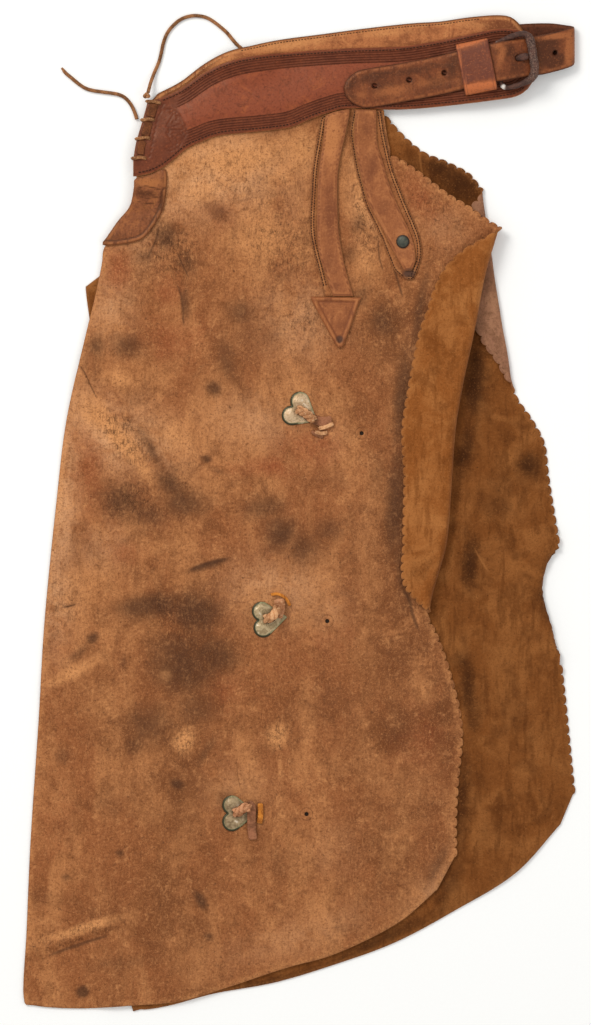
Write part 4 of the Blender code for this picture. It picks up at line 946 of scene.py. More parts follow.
def linear(colour):
    """An sRGB hex colour as the linear values that a shader takes."""
    parts = [int(colour[i:i + 2], 16) / 255 for i in (1, 3, 5)]
    return (*[p / 12.92 if p <= 0.04045 else ((p + 0.055) / 1.055) ** 2.4 for p in parts], 1)


def add(tree, kind, inputs=None, **settings):
    """Adds a node: settings are its properties, inputs give its sockets a value or a link."""
    node = tree.nodes.new(kind)
    for name, value in settings.items():
        setattr(node, name, value)
    for key, value in (inputs or {}).items():
        if isinstance(value, bpy.types.NodeSocket):
            tree.links.new(value, node.inputs[key])
        else:
            node.inputs[key].default_value = value
    return node


def shaded(name, roughness, metallic=0.0, sheen=0.0):
    """A new material with its shader, and the place on the piece that its patterns read."""
    made = bpy.data.materials.new(name)
    made.use_nodes = True
    tree = made.node_tree
    shader = tree.nodes["Principled BSDF"]
    shader.inputs["Roughness"].default_value = roughness
    shader.inputs["Metallic"].default_value = metallic
    if not metallic:
        shader.inputs["Specular IOR Level"].default_value = DULL
        shader.inputs["Specular Tint"].default_value = WARM
    if sheen:
        shader.inputs["Sheen Weight"].default_value = sheen
        shader.inputs["Sheen Roughness"].default_value = 0.6
        shader.inputs["Sheen Tint"].default_value = WARM
    place = add(tree, "ShaderNodeTexCoord").outputs["Object"]
    return made, tree, shader, place


def cloud(tree, place, size, detail=5.0, warp=0.0, rough=0.6):
    """A cloudy pattern whose patches are about size mm across."""
    scale = 1 / (size * MM)
    return add(tree, "ShaderNodeTexNoise", {
        "Vector": place, "Scale": scale, "Detail": detail, "Roughness": rough, "Distortion": warp,
    }).outputs[0]


def between(tree, value, low, high, to=1.0):
    """0 where the value is under low, and to where it is over high."""
    return add(tree, "ShaderNodeMapRange", {
        "Value": value, "From Min": low, "From Max": high, "To Max": to,
    }, interpolation_type="SMOOTHSTEP").outputs[0]


def stretched(tree, place, across, down, turn=0.0):
    """The place with the pattern drawn out, for streaks."""
    return add(tree, "ShaderNodeMapping", {
        "Vector": place, "Rotation": (0, 0, math.radians(turn)), "Scale": (1 / across, 1 / down, 1),
    }).outputs[0]


def mark(tree, name):
    return add(tree, "ShaderNodeAttribute", attribute_name=name).outputs["Fac"]


def ragged(tree, name, place, size, most=1.0, reach=1.1):
    """A mark of wear with a broken edge: its soft oval roughened by a cloud."""
    broken = add(tree, "ShaderNodeMath", {
        0: cloud(tree, place, size, 9.0, 0.3, 0.74), 1: reach, 2: mark(tree, name),
    }, operation="MULTIPLY_ADD").outputs[0]
    return between(tree, broken, 0.5 * reach + 0.05, 0.5 * reach + 0.95, most)


def broad(tree, name, place):
    """A wide soft change of colour, which a cloud breaks up a little."""
    return both(tree, mark(tree, name), between(tree, cloud(tree, place, 26, 7.0, 0.5, 0.7), 0.26, 0.6))


def layered(tree, ground, layers):
    """Colour laid on colour: each layer is the mask that says where it shows, and its colour."""
    laid = add(tree, "ShaderNodeRGB").outputs[0]
    laid.default_value = linear(ground)
    for mask, colour in layers:
        laid = add(tree, "ShaderNodeMix", {0: mask, 6: laid, 7: linear(colour)}, data_type="RGBA").outputs[2]
    return laid


def relief(tree, shader, parts):
    """Bumps laid on each other: each part is a height from 0 to 1 and its depth in mm."""
    normal = None
    for height, depth in parts:
        sockets = {"Height": height, "Distance": abs(depth) * MM, "Strength": 1.0}
        if normal is not None:
            sockets["Normal"] = normal
        normal = add(tree, "ShaderNodeBump", sockets, invert=depth < 0).outputs[0]
    tree.links.new(normal, shader.inputs["Normal"])


def cracks(tree, place, size, width):
    """A net of fine cracks with cells about size mm across: 1 in a crack, 0 elsewhere."""
    warped = add(tree, "ShaderNodeVectorMath", {
        0: add(tree, "ShaderNodeTexNoise", {
            "Vector": place, "Scale": 1 / (2.2 * size * MM), "Detail": 3.0,
        }).outputs["Color"],
        1: (1.1 * size * MM, 1.1 * size * MM, 0),
        2: place,
    }, operation="MULTIPLY_ADD").outputs[0]
    net = add(tree, "ShaderNodeTexVoronoi", {
        "Vector": warped, "Scale": 1 / (size * MM),
    }, feature="DISTANCE_TO_EDGE").outputs[0]
    return add(tree, "ShaderNodeMapRange", {
        "Value": net, "From Min": 0.0, "From Max": width, "To Min": 1.0, "To Max": 0.0,
    }, interpolation_type="SMOOTHSTEP").outputs[0]


def folds(tree, place):
    """Fine wrinkles, drawn out in a direction that changes from patch to patch."""
    found = None
    for turn, seed in ((14, 0.0), (62, 0.4), (-38, 0.9)):
        fine = cloud(tree, stretched(tree, place, 1, 3.6, turn), 1.9, 3.0, 0.9)
        if found is None:
            found = fine
            continue
        spot = add(tree, "ShaderNodeVectorMath", {0: place, 1: (seed, seed, 0)}).outputs[0]
        patch = between(tree, cloud(tree, spot, 55, 3.0, 0.6), 0.47, 0.56)
        found = add(tree, "ShaderNodeMix", {0: patch, 2: found, 3: fine}, data_type="FLOAT").outputs[0]
    return found


def both(tree, first, second):
    return add(tree, "ShaderNodeMath", {0: first, 1: second}, operation="MULTIPLY").outputs[0]


def grain_finish(name, ground, light, dark, red, stain, pale):
    """Vegetable tanned cowhide, grain side, decades old: rubbed pale where it bends, stained dark
    by handling, crackled in patches, dull with a faint polish. The hide's pebble is under 1 mm, so
    its clouds of colour are drawn about 2.5 mm across to show."""
    made, tree, shader, place = shaded(name, 0.62)
    pebble = cloud(tree, place, 2.6, 3.0)
    mottle = cloud(tree, place, 9, 6.0, 0.4, 0.7)
    drift = cloud(tree, stretched(tree, place, 1, 2.2), 46, 5.0, 0.5)
    streak = cloud(tree, stretched(tree, place, 1, 9, 4), 3.4, 4.0, 0.2)
    fine = cloud(tree, place, 1.1, 2.0)
    patchy = between(tree, cloud(tree, place, 6, 3.0), 0.42, 0.6)
    wrinkles = both(tree, cracks(tree, stretched(tree, place, 1, 2.1, 32), 3.1, 0.16), patchy)
    net = both(tree, cracks(tree, stretched(tree, place, 1, 1.5, -20), 4.4, 0.11), patchy)
    creased_net = add(tree, "ShaderNodeMath", {0: wrinkles, 1: net}, operation="MAXIMUM").outputs[0]
    worn_net = both(tree, creased_net, ragged(tree, "crackle", place, 16))
    lines = folds(tree, place)
    creasing = add(tree, "ShaderNodeMapRange", {
        "Value": mark(tree, "crackle"), "From Max": 0.8, "To Min": 0.4, "To Max": 1.0,
    }).outputs[0]
    edge = mark(tree, "edge")
    shader_colour = layered(tree, ground, [
        (between(tree, drift, 0.4, 0.62, 0.4), light),
        (between(tree, cloud(tree, place, 34, 6.0, 0.8, 0.7), 0.46, 0.68, 0.62), dark),
        # The pale and scuff marks hold real wear and, on the near leg, painted light on a ridge's lit side.
        (broad(tree, "pale", place), pale),
        (broad(tree, "deep", place), dark),
        (ragged(tree, "red", place, 22, 0.75), red),
        (ragged(tree, "scuff", place, 15, 0.95, 0.8), light),
        # The stain mark holds real stains and, on the near leg, painted shade beside the flap's edge and on a
        # ridge's shaded side.
        (ragged(tree, "stain", place, 20, 0.66, 1.0), stain),
        (between(tree, mottle, 0.5, 0.7, 0.46), dark),
        (between(tree, mottle, 0.46, 0.3, 0.4), light),
        (between(tree, streak, 0.5, 0.7, 0.24), dark),
        (both(tree, between(tree, edge, 7.0, 1.0, 0.45), between(tree, mottle, 0.42, 0.6)), light),
        (between(tree, pebble, 0.52, 0.68, 0.5), dark),
        (between(tree, pebble, 0.46, 0.3, 0.26), light),
        (between(tree, fine, 0.53, 0.7, 0.36), stain),
        (between(tree, fine, 0.46, 0.3, 0.24), light),
        (both(tree, worn_net, between(tree, mottle, 0.3, 0.55, 0.55)), stain),
        (both(tree, between(tree, lines, 0.54, 0.7, 0.62), creasing), stain),
        (both(tree, between(tree, lines, 0.44, 0.3, 0.5), creasing), light),
        (ragged(tree, "stain", place, 14, 0.5, 0.7), stain),
        (between(tree, cloud(tree, place, 4.2, 2.0), 0.68, 0.74, 0.5), stain),
        # The trough mark darkens the creases' troughs: painted shade.
        (between(tree, mark(tree, "trough"), 0.2, 0.95, 0.66), stain),
        # The seam mark darkens the leg beside the yoke: painted shade.
        (between(tree, mark(tree, "seam"), 0.2, 1.0, 0.25), dark),
        # The hole mark: a darker ring and near-black centre at the punched holes, painted shade for their depth.
        (between(tree, mark(tree, "hole"), 0.1, 0.22, 0.4), stain),
        (between(tree, mark(tree, "hole"), 0.35, 0.8), "#140C08"),
    ])
    tree.links.new(shader_colour, shader.inputs["Base Color"])
    gloss = add(tree, "ShaderNodeMapRange", {
        "Value": mottle, "From Min": 0.3, "From Max": 0.7, "To Min": 0.5, "To Max": 0.74,
    }).outputs[0]
    tree.links.new(gloss, shader.inputs["Roughness"])
    relief(tree, shader, [
        (fine, 0.2), (pebble, 0.45), (mottle, 1.2), (worn_net, -0.6), (streak, 0.25),
        (lines, -0.5),
    ])
    return made


def suede_finish(name, ground, light, dark, stain):
    """The hide's flesh side: a short brushed nap that looks matt and soft, lighter or darker where
    it was stroked. The nap's fibres are far finer than the render, so its clumps are 2 mm."""
    made, tree, shader, place = shaded(name, 0.95, sheen=0.08)
    shader.inputs["Specular IOR Level"].default_value = 0.12
    nap = cloud(tree, place, 2.2, 4.0, 0.2, 0.7)
    stroke = cloud(tree, stretched(tree, place, 1, 5, 8), 7, 5.0, 0.6)
    drift = cloud(tree, place, 38, 5.0, 0.6)
    fleck = cloud(tree, place, 4.0, 2.0)
    edge = mark(tree, "edge")
    colour = layered(tree, ground, [
        (between(tree, drift, 0.4, 0.66, 0.7), light),
        (between(tree, cloud(tree, place, 24, 5.0, 0.5), 0.48, 0.7, 0.6), dark),
        (between(tree, stroke, 0.46, 0.66, 0.55), dark),
        (ragged(tree, "scuff", place, 12, 0.85), light),
        # The stain mark holds real stains and, on the far leg, painted shadow cast by the near leg.
        (ragged(tree, "stain", place, 22, 0.9), stain),
        (between(tree, nap, 0.52, 0.7, 0.5), dark),
        (between(tree, nap, 0.47, 0.3, 0.42), light),
        (between(tree, cloud(tree, place, 1.2, 2.0), 0.55, 0.7, 0.4), stain),
        (between(tree, fleck, 0.67, 0.75, 0.4), stain),
        (both(tree, between(tree, edge, 4.0, 0.6, 0.6), between(tree, nap, 0.4, 0.6)), light),
        (between(tree, mark(tree, "trough"), 0.2, 0.95, 0.5), light),
    ])
    tree.links.new(colour, shader.inputs["Base Color"])
    relief(tree, shader, [(nap, 0.9), (stroke, 0.8), (drift, 2.0)])
    return made


def edge_finish(name, ground, light, dark):
    """A hide's cut edge: fibrous, darkened by handling."""
    made, tree, shader, place = shaded(name, 0.85)
    fibre = cloud(tree, place, 1.6, 4.0)
    colour = layered(tree, ground, [
        (between(tree, fibre, 0.42, 0.62, 0.8), light),
        (between(tree, cloud(tree, place, 14), 0.45, 0.62, 0.7), dark),
    ])
    tree.links.new(colour, shader.inputs["Base Color"])
    relief(tree, shader, [(fibre, 0.4)])
    return made


def tooled_finish(name, border, field, line, glow, lines):
    """Oiled bridle leather, stamped while damp: dark and slightly glossy where the oil sank in, with
    lines pressed along its edges and a redder, rubbed field between them. Lines are their distances
    from the edge in mm."""
    made, tree, shader, place = shaded(name, 0.42)
    mottle = cloud(tree, place, 12, 6.0, 0.5, 0.65)
    grain = cloud(tree, place, 2.2, 4.0)
    away = mark(tree, "border")
    ramp = add(tree, "ShaderNodeValToRGB", {
        0: add(tree, "ShaderNodeMath", {0: away, 1: LINE_REACH}, operation="DIVIDE").outputs[0],
    })
    stops = ramp.color_ramp.elements
    stops[0].position, stops[0].color = 0.0, (0, 0, 0, 1)
    stops[1].position, stops[1].color = 1.0, (0, 0, 0, 1)
    for offset in lines:
        for side, value in ((-0.62, 0), (-0.12, 1), (0.12, 1), (0.62, 0)):
            stop = stops.new((offset + side) / LINE_REACH)
            stop.color = (value, value, value, 1)
    pressed = both(tree, ramp.outputs[0], mark(tree, "tooled"))
    inner = both(tree, between(tree, away, lines[-1] + 0.4, lines[-1] + 1.4), mark(tree, "tooled"))
    colour = layered(tree, border, [
        (between(tree, mottle, 0.42, 0.66, 0.5), line),
        (both(tree, inner, between(tree, mottle, 0.28, 0.46)), field),
        (between(tree, cloud(tree, place, 20, 6.0, 0.9, 0.7), 0.42, 0.26, 0.6), field),
        (both(tree, inner, between(tree, cloud(tree, place, 24, 6.0, 0.8, 0.7), 0.52, 0.72, 0.8)), glow),
        (both(tree, inner, between(tree, cloud(tree, place, 13, 6.0, 0.9, 0.72), 0.52, 0.7, 0.75)), line),
        (between(tree, grain, 0.52, 0.68, 0.45), line),
        (between(tree, grain, 0.46, 0.3, 0.3), glow),
        (both(tree, pressed, between(tree, mottle, 0.3, 0.6, 0.75)), line),
        (between(tree, mark(tree, "stamp"), 0.15, 0.9, 0.5), line),
        (both(tree, between(tree, away, 1.8, 0.4, 0.5), between(tree, mottle, 0.42, 0.6)), glow),
    ])
    tree.links.new(colour, shader.inputs["Base Color"])
    gloss = add(tree, "ShaderNodeMapRange", {
        "Value": mottle, "From Min": 0.3, "From Max": 0.7, "To Min": 0.34, "To Max": 0.56,
    }).outputs[0]
    tree.links.new(gloss, shader.inputs["Roughness"])
    relief(tree, shader, [(grain, 0.2), (mottle, 0.5), (pressed, -0.7), (mark(tree, "stamp"), -0.6)])
    return made


def smooth_finish(name, ground, light, dark, roughness=0.5, streaks=0.0):
    """Smooth strap leather, rubbed lighter along its edges and darkened in the middle by hands."""
    made, tree, shader, place = shaded(name, roughness)
    mottle = cloud(tree, place, 15, 6.0, 0.6, 0.65)
    grain = cloud(tree, place, 1.9, 4.0)
    drawn = cloud(tree, stretched(tree, place, 1, 7, streaks), 4, 4.0, 0.4)
    edge = mark(tree, "edge")
    colour = layered(tree, ground, [
        (between(tree, mottle, 0.48, 0.34, 0.5), light),
        (between(tree, mottle, 0.5, 0.66, 0.6), dark),
        (between(tree, drawn, 0.52, 0.7, 0.45), dark),
        (ragged(tree, "stain", place, 12, 0.9), dark),
        (ragged(tree, "scuff", place, 10, 0.9), light),
        (between(tree, grain, 0.52, 0.68, 0.45), dark),
        (between(tree, grain, 0.46, 0.32, 0.36), light),
        (between(tree, cloud(tree, place, 4.4, 2.0), 0.66, 0.72, 0.6), dark),
        (both(tree, between(tree, edge, 4.6, 2.2, 0.6), between(tree, drawn, 0.4, 0.6)), light),
        (both(tree, between(tree, edge, 1.6, 0.5, 0.55), between(tree, drawn, 0.3, 0.55)), dark),
        # The trough mark darkens grooves and creases: painted shade where the leather sinks, on the hip straps,
        # tab and lining and round the belt's holes.
        (between(tree, mark(tree, "trough"), 0.2, 0.9, 0.85), dark),
        (between(tree, mark(tree, "hole"), 0.25, 0.95, 0.85), "#4A3026"),
    ])
    tree.links.new(colour, shader.inputs["Base Color"])
    relief(tree, shader, [(grain, 0.35), (mottle, 0.9), (drawn, 0.45)])
    return made


def thong_finish(name, ground, light, dark):
    """Rawhide thong: a stiff cut strip, fibrous along its length, dry and rough."""
    made, tree, shader, place = shaded(name, 0.72)
    fibre = cloud(tree, place, 1.3, 5.0, 0.8, 0.7)
    drift = cloud(tree, place, 11, 4.0, 0.5)
    colour = layered(tree, ground, [
        (between(tree, drift, 0.4, 0.6, 0.8), dark),
        (between(tree, fibre, 0.52, 0.66, 0.55), light),
        (between(tree, fibre, 0.45, 0.34, 0.7), dark),
    ])
    tree.links.new(colour, shader.inputs["Base Color"])
    relief(tree, shader, [(fibre, 0.4)])
    return made


def iron_finish():
    """Cast iron under old rust: nearly black-brown, pocked, bright where the strap rubs it, with painted
    highlights on the pits of its outer bar.
    """
    made, tree, shader, place = shaded("Rusty cast iron", 0.62, metallic=0.55)
    pits = cloud(tree, place, 1.1, 5.0, 0.6, 0.75)
    bloom = cloud(tree, place, 6, 5.0, 0.6)
    worn = mark(tree, "worn")
    colour = layered(tree, "#4E352C", [
        (between(tree, bloom, 0.44, 0.6, 0.75), "#6B4638"),
        (between(tree, pits, 0.52, 0.62, 0.8), "#2E1E1A"),
        # Pale specks on the outer bar's pits: painted highlights.
        (both(tree, mark(tree, "pitted"), between(tree, pits, 0.5, 0.38, 0.75)), "#9A8070"),
        (between(tree, worn, 0.25, 0.95), "#E8DED4"),
    ])
    tree.links.new(colour, shader.inputs["Base Color"])
    relief(tree, shader, [(pits, 0.6), (bloom, 0.5)])
    return made


def nickel_finish(name, ground, dull):
    """Nickel silver plate, worn dull and pale, greenish and then near black round its rim, more so on one side."""
    made, tree, shader, place = shaded(name, 0.4, metallic=0.55)
    haze = cloud(tree, place, 5, 5.0, 0.6)
    specks = cloud(tree, place, 1.6, 4.0)
    rim = mark(tree, "rim")
    ragged_rim = add(tree, "ShaderNodeMath", {0: haze, 1: 0.5, 2: rim}, operation="MULTIPLY_ADD")
    colour = layered(tree, ground, [
        (between(tree, haze, 0.46, 0.6, 0.8), dull),
        (between(tree, specks, 0.54, 0.66, 0.7), "#7C6648"),
        (between(tree, haze, 0.42, 0.3, 0.7), "#EAD8BE"),
        (between(tree, ragged_rim.outputs[0], 0.5, 0.8, 0.85), "#84805A"),
        (between(tree, ragged_rim.outputs[0], 0.76, 1.0), "#3A3620"),
        (between(tree, mark(tree, "slot"), 0.4, 0.8), "#4A2508"),
    ])
    tree.links.new(colour, shader.inputs["Base Color"])
    relief(tree, shader, [(specks, 0.15), (haze, 0.3)])
    return made


def steel_finish():
    """A blued steel rivet cap, its blue gone grey-green, dark round its rim."""
    made, tree, shader, place = shaded("Blued steel", 0.5, metallic=0.5)
    haze = cloud(tree, place, 3, 4.0, 0.4)
    colour = layered(tree, "#45473C", [
        (between(tree, haze, 0.45, 0.62, 0.7), "#34372F"),
        (between(tree, haze, 0.42, 0.34, 0.5), "#6A5A40"),
        (between(tree, mark(tree, "rim"), 0.4, 0.8), "#2A1E14"),
    ])
    tree.links.new(colour, shader.inputs["Base Color"])
    relief(tree, shader, [(haze, 0.2)])
    return made


def thread_finish(name, colour, shade):
    """Waxed linen thread, stiff and slightly shiny."""
    made, tree, shader, place = shaded(name, 0.6)
    twist = cloud(tree, place, 0.8, 2.0)
    laid = layered(tree, colour, [(between(tree, twist, 0.45, 0.6), shade)])
    tree.links.new(laid, shader.inputs["Base Color"])
    return made


def plain_finish(name, colour, roughness, speck):
    """A dull even surface with the faintest tooth."""
    made, tree, shader, place = shaded(name, roughness)
    tooth = cloud(tree, place, 3.0, 2.0)
    laid = layered(tree, colour, [(between(tree, tooth, 0.4, 0.6, 0.03), speck)])
    tree.links.new(laid, shader.inputs["Base Color"])
    return made


LINE_REACH = 24.0
NEAR_LINES = (5.0, 7.5, 10.0, 12.6, 15.2)

GRAIN = grain_finish(
    "Worn cowhide, grain side", "#92552D", "#D49058", "#6A3817", "#8C4220", "#422210", "#D49A6C"
)
DUSTY_GRAIN = grain_finish(
    "Dusty cowhide, grain side", "#92634A", "#AC7C5A", "#6C452C", "#825036", "#4F2F1C", "#AC7C5A"
)
SUEDE_OCHRE = suede_finish("Ochre suede", "#8E5122", "#B0713C", "#6C3810", "#4A260A")
SUEDE_BROWN = suede_finish("Brown suede", "#7A451C", "#985F30", "#582D0C", "#2E1202")
CUT_EDGE = edge_finish("Cut leather edge", "#8F5A33", "#A87043", "#6A3D1E")
DARK_EDGE = edge_finish("Dark burnished edge", "#4B2718", "#673B25", "#270800")
YOKE = tooled_finish(
    "Tooled bridle leather", "#69311C", "#823E26", "#4C1C0D", "#A0532C", NEAR_LINES
)
LINING = smooth_finish("Tan lining leather", "#AC683C", "#C88650", "#6E381C", 0.6)
TAB_HIDE = smooth_finish("Oiled brown leather", "#7F4729", "#A46335", "#4B220B", 0.46)
HIP_STRAP = smooth_finish("Tan strap leather", "#925530", "#B67343", "#733D22", 0.55)
HIP_BORDER = smooth_finish("Strap border leather", "#94582F", "#BA7C4A", "#5C3018", 0.6)
BELT = smooth_finish("Dark bridle leather", "#733A1E", "#9C5A32", "#47200F", 0.42, 80)
INNER_BELT = smooth_finish("Belt strap inner side", "#532512", "#6F3920", "#2E0C00", 0.6)
KEEPER = smooth_finish("Orange-tan loop leather", "#8A4826", "#B9663A", "#613025", 0.45)
THONG = thong_finish("Rawhide thong", "#93603A", "#CE9A68", "#563219")
PALE_THONG = thong_finish("Pale rawhide thong", "#D8A070", "#F4D0A4", "#96603A")
PLAIT = thong_finish("Braided rawhide thong", "#C48860", "#E8B488", "#84502E")
# Dark strip laid under each plait: painted shade in the gaps between its strands.
SHADE_THONG = thong_finish("Painted plait shade", "#5C3018", "#7A4626", "#3C1C0A")
ORANGE_THONG = thong_finish("Orange rawhide thong", "#C97929", "#E8A553", "#824312")
LACE = thong_finish("Handled rawhide lace", "#A06A42", "#E2B080", "#5C361B")
BROWN_THONG = thong_finish("Flat brown thong", "#9A6244", "#B47C56", "#6A4028")
LACE_BROWN = thong_finish("Dark handled lace", "#6E3C20", "#94582F", "#46220F")
# Near-black finish: painted shade at the bottom of the belt strap's holes.
HOLE_SHADE = plain_finish("Painted hole shade", "#0C0705", 0.95, "#140C08")
IRON = iron_finish()
NICKELS = [
    nickel_finish("Patinated nickel silver", "#CCAC86", "#A98A64"),
    nickel_finish("Dull patinated nickel silver", "#B9A17A", "#8E7652"),
    nickel_finish("Dark patinated nickel silver", "#A78E6A", "#765E40"),
]
STEEL = steel_finish()
DARK_THREAD = thread_finish("Dark waxed thread", "#34180E", "#200E06")
LIGHT_THREAD = thread_finish("Light waxed thread", "#BC8A5C", "#8A5A36")
TAN_THREAD = thread_finish("Tan waxed thread", "#5A3318", "#3A200E")
BOARD = plain_finish("White studio board", "#F8F8F6", 0.9, "#E8E6E2")

ThongEnd = namedtuple("ThongEnd", "path width finish")
THONG_ENDS = [
    [
        ThongEnd([
            CordPoint(312, 418.6, 2.4), CordPoint(318, 421, 3.2), CordPoint(325, 421.6, 3.2),
            CordPoint(331.6, 420.6, 2.2),
        ], 9.6, BROWN_THONG),
        ThongEnd([CordPoint(318.6, 428.6, 3.6), CordPoint(326, 427, 3.6), CordPoint(333.2, 423.6, 2.4)], 4.0, PALE_THONG),
        ThongEnd([CordPoint(311.6, 431.6, 1.6), CordPoint(317, 435, 1.6), CordPoint(323, 437.4, 1.2)], 3.6, BROWN_THONG),
        ThongEnd([CordPoint(315, 431.6, 2.2), CordPoint(321, 433.6, 2.4), CordPoint(327.4, 432.6, 1.6)], 3.8, PALE_THONG),
    ],
    [
        ThongEnd([
            CordPoint(271, 594.4, 2), CordPoint(278.4, 594, 2.6), CordPoint(285.6, 598, 2.4),
            CordPoint(290, 605.6, 2.0),
        ], 3.0, ORANGE_THONG),
        ThongEnd([
            CordPoint(276.8, 617, 4.6), CordPoint(279.6, 610, 5.2), CordPoint(279.8, 604, 5.2),
            CordPoint(279, 599, 4.0),
        ], 10.5, PLAIT),
    ],
    [
        ThongEnd([
            CordPoint(247, 802.4, 4.2), CordPoint(251.4, 806, 5.4), CordPoint(251.6, 816, 4.2),
            CordPoint(251.8, 828, 2.4), CordPoint(253, 839, 1.7),
        ], 8.6, BROWN_THONG),
        ThongEnd([CordPoint(260.2, 803, 1.8), CordPoint(260.8, 813, 2.4), CordPoint(259.6, 823, 1.8)], 5.6, ORANGE_THONG),
    ],
]
LACE_RUNS = [
    ([CordPoint(154.8, 104.4, 0.9), CordPoint(152.6, 110, 1.1), CordPoint(150.2, 117.4, 0.9)], 9.0),
    ([CordPoint(149.2, 122.4, 0.9), CordPoint(147.4, 129, 1.2), CordPoint(145.2, 136.6, 0.9)], 8.4),
    ([CordPoint(143.4, 141.6, 0.9), CordPoint(141.4, 148, 1.2), CordPoint(140.4, 155.4, 0.9)], 7.6),
]


def surface_of(*pieces):
    """A tree of the pieces' faces, in metres, for setting others on them."""
    points, faces = [], []
    for made in pieces:
        start = len(points)
        points += [vertex.co.copy() for vertex in made.data.vertices]
        faces += [[start + i for i in face.vertices] for face in made.data.polygons]
    return BVHTree.FromPolygons(points, faces)


def hung(base, across, down):
    """The height of a surface in mm straight under a place, or else at its nearest edge."""
    x, y, z = metres((across, down, 200))[0]
    hit = base.ray_cast(Vector((x, y, z)), Vector((0, 0, -1)))[0]
    if hit is None:
        hit = base.find_nearest(Vector((x, y, 0.02)))[0]
    return hit.z / MM


def laid_on(base, flat, gap, reach=1.6):
    """Heights that clear a surface all round each place."""
    steps = [(0, 0), (reach, 0), (-reach, 0), (0, reach), (0, -reach)]
    return np.array([
        max(hung(base, px + sx, py + sy) for sx, sy in steps) + gap for px, py in flat.tolist()
    ])


def near_yoke():
    """The near yoke: tooled lines along both long edges round a redder field, laced at its front."""
    lower = through(YOKE_LOWER, 4)[:-1]
    upper = through(NEAR_YOKE_UPPER, 4)
    front = through(NEAR_YOKE_FRONT, 4)
    outline = np.vstack([lower, upper, front])
    flat, triangles = cut(outline, YOKE_PITCH, punch_ring_points(LACE_HOLES))
    x, y = flat.T
    climb = ease((below_yoke(x, y) + 64) / 44)
    height = NEAR_YOKE_TOP_HEIGHT + (NEAR_YOKE_HEIGHT - NEAR_YOKE_TOP_HEIGHT) * climb
    places = np.stack([x, y, height + yoke_rise(x, y)], axis=1)
    border = np.minimum(distance_to(lower, x, y), distance_to(upper, x, y))
    tooled = ease((x - 181 + 5 * np.sin((y - 92) / 9)) / 5)
    stamp = np.zeros(len(x))
    for turn in range(STAMP_RAYS):
        angle = math.radians(-62 + 124 * turn / (STAMP_RAYS - 1))
        ray = STAMP_AT.across + 4 * math.cos(angle), STAMP_AT.down + 4 * math.sin(angle)
        tip = STAMP_AT.across + 17 * math.cos(angle), STAMP_AT.down + 17 * math.sin(angle)
        stamp = np.maximum(stamp, 1 - distance_to(np.array([ray, tip]), x, y) / 1.1)
    ring = np.hypot(x - STAMP_AT.across, y - STAMP_AT.down)
    facing = ease((x - STAMP_AT.across + 3) / 5)
    for radius in (18.5, 21.5):
        stamp = np.maximum(stamp, (1 - np.abs(ring - radius) / 1.2) * facing)
    line = distance_to(np.array([(p.across + 3.2, p.down) for p in LACE_HOLES]), x, y)
    stamp = np.maximum(stamp, 1 - line / 1.2)
    swelled = 0.7 * ease((border - NEAR_LINES[-1]) / 7) * tooled
    places[:, 2] += swelled
    edge = distance_to(outline, x, y, True)
    made = wall(
        "chaps_near_yoke", triangles, places, YOKE_LEATHER, SUEDE_BROWN, YOKE, CUT_EDGE, 0.5,
        border=border, tooled=tooled, stamp=np.clip(stamp, 0, 1), edge=edge,
        **plain_marks(len(x)),
    )
    return made, upper, lower


def plain_marks(count, *leaving):
    """The marks that a finish may read, all clear."""
    names = [name for name in ("stain", "scuff", "red", "crackle", "pale", "deep", "trough", "seam", "hole")
             if name not in leaving]
    return {name: np.zeros(count) for name in names}


def punch_ring_points(places):
    return [
        (p.across + radius * math.cos(turn), p.down + radius * math.sin(turn))
        for p in places for radius in (1.4, 2.4) for turn in np.linspace(0, 2 * math.pi, 11)[:-1]
    ]


def far_yoke():
    lower = through(YOKE_LOWER, 6)[:-1] + (1, -1.5)
    upper = through(FAR_YOKE_UPPER, 5)
    outline = np.vstack([lower, upper, through(FAR_YOKE_FRONT, 5)])
    flat, triangles = cut(outline, YOKE_PITCH * 2)
    x, y = flat.T
    places = np.stack([x, y, yoke_rise(x, y)], axis=1)
    made = wall(
        "chaps_far_yoke", triangles, places, YOKE_LEATHER, YOKE, SUEDE_BROWN, DARK_EDGE, 0.4,
        border=distance_to(np.vstack([lower, upper]), x, y), tooled=ease((x - 181) / 5),
        stamp=np.zeros(len(x)), edge=distance_to(outline, x, y, True), **plain_marks(len(x)),
    )
    return made, outline, upper


def yoke_lining(outline, upper):
    """The far yoke's lining, whose upper edge shows above the near yoke."""
    inner = inset(outline, 0.8)
    flat, triangles = cut(inner, YOKE_PITCH * 1.5)
    x, y = flat.T
    climb = ease((below_yoke(x, y) + 36) / 18)
    low = YOKE_LEATHER + SEAM_GAP
    height = low + (LINING_SEAM_HEIGHT - low) * climb + yoke_rise(x, y)
    away = distance_to(upper, x, y)
    height = height - 0.35 * np.exp(-((away - 2.6) / 0.8) ** 2) * (away < 5)
    places = np.stack([x, y, np.maximum(height, low + yoke_rise(x, y) - 0.2)], axis=1)
    marks = plain_marks(len(x), "stain", "scuff", "trough")
    made = wall(
        "chaps_far_yoke_lining", triangles, places, LINING_LEATHER, SUEDE_BROWN, LINING, DARK_EDGE, 0.2,
        stain=spots(LINING_STAINS, x, y), scuff=spots(LINING_SCUFFS, x, y),
        # The groove under the stitch row is darkened as painted shade.
        trough=np.exp(-((away - 2.6) / 0.9) ** 2) * 0.5,
        edge=distance_to(inner, x, y, True), **marks,
    )
    return made


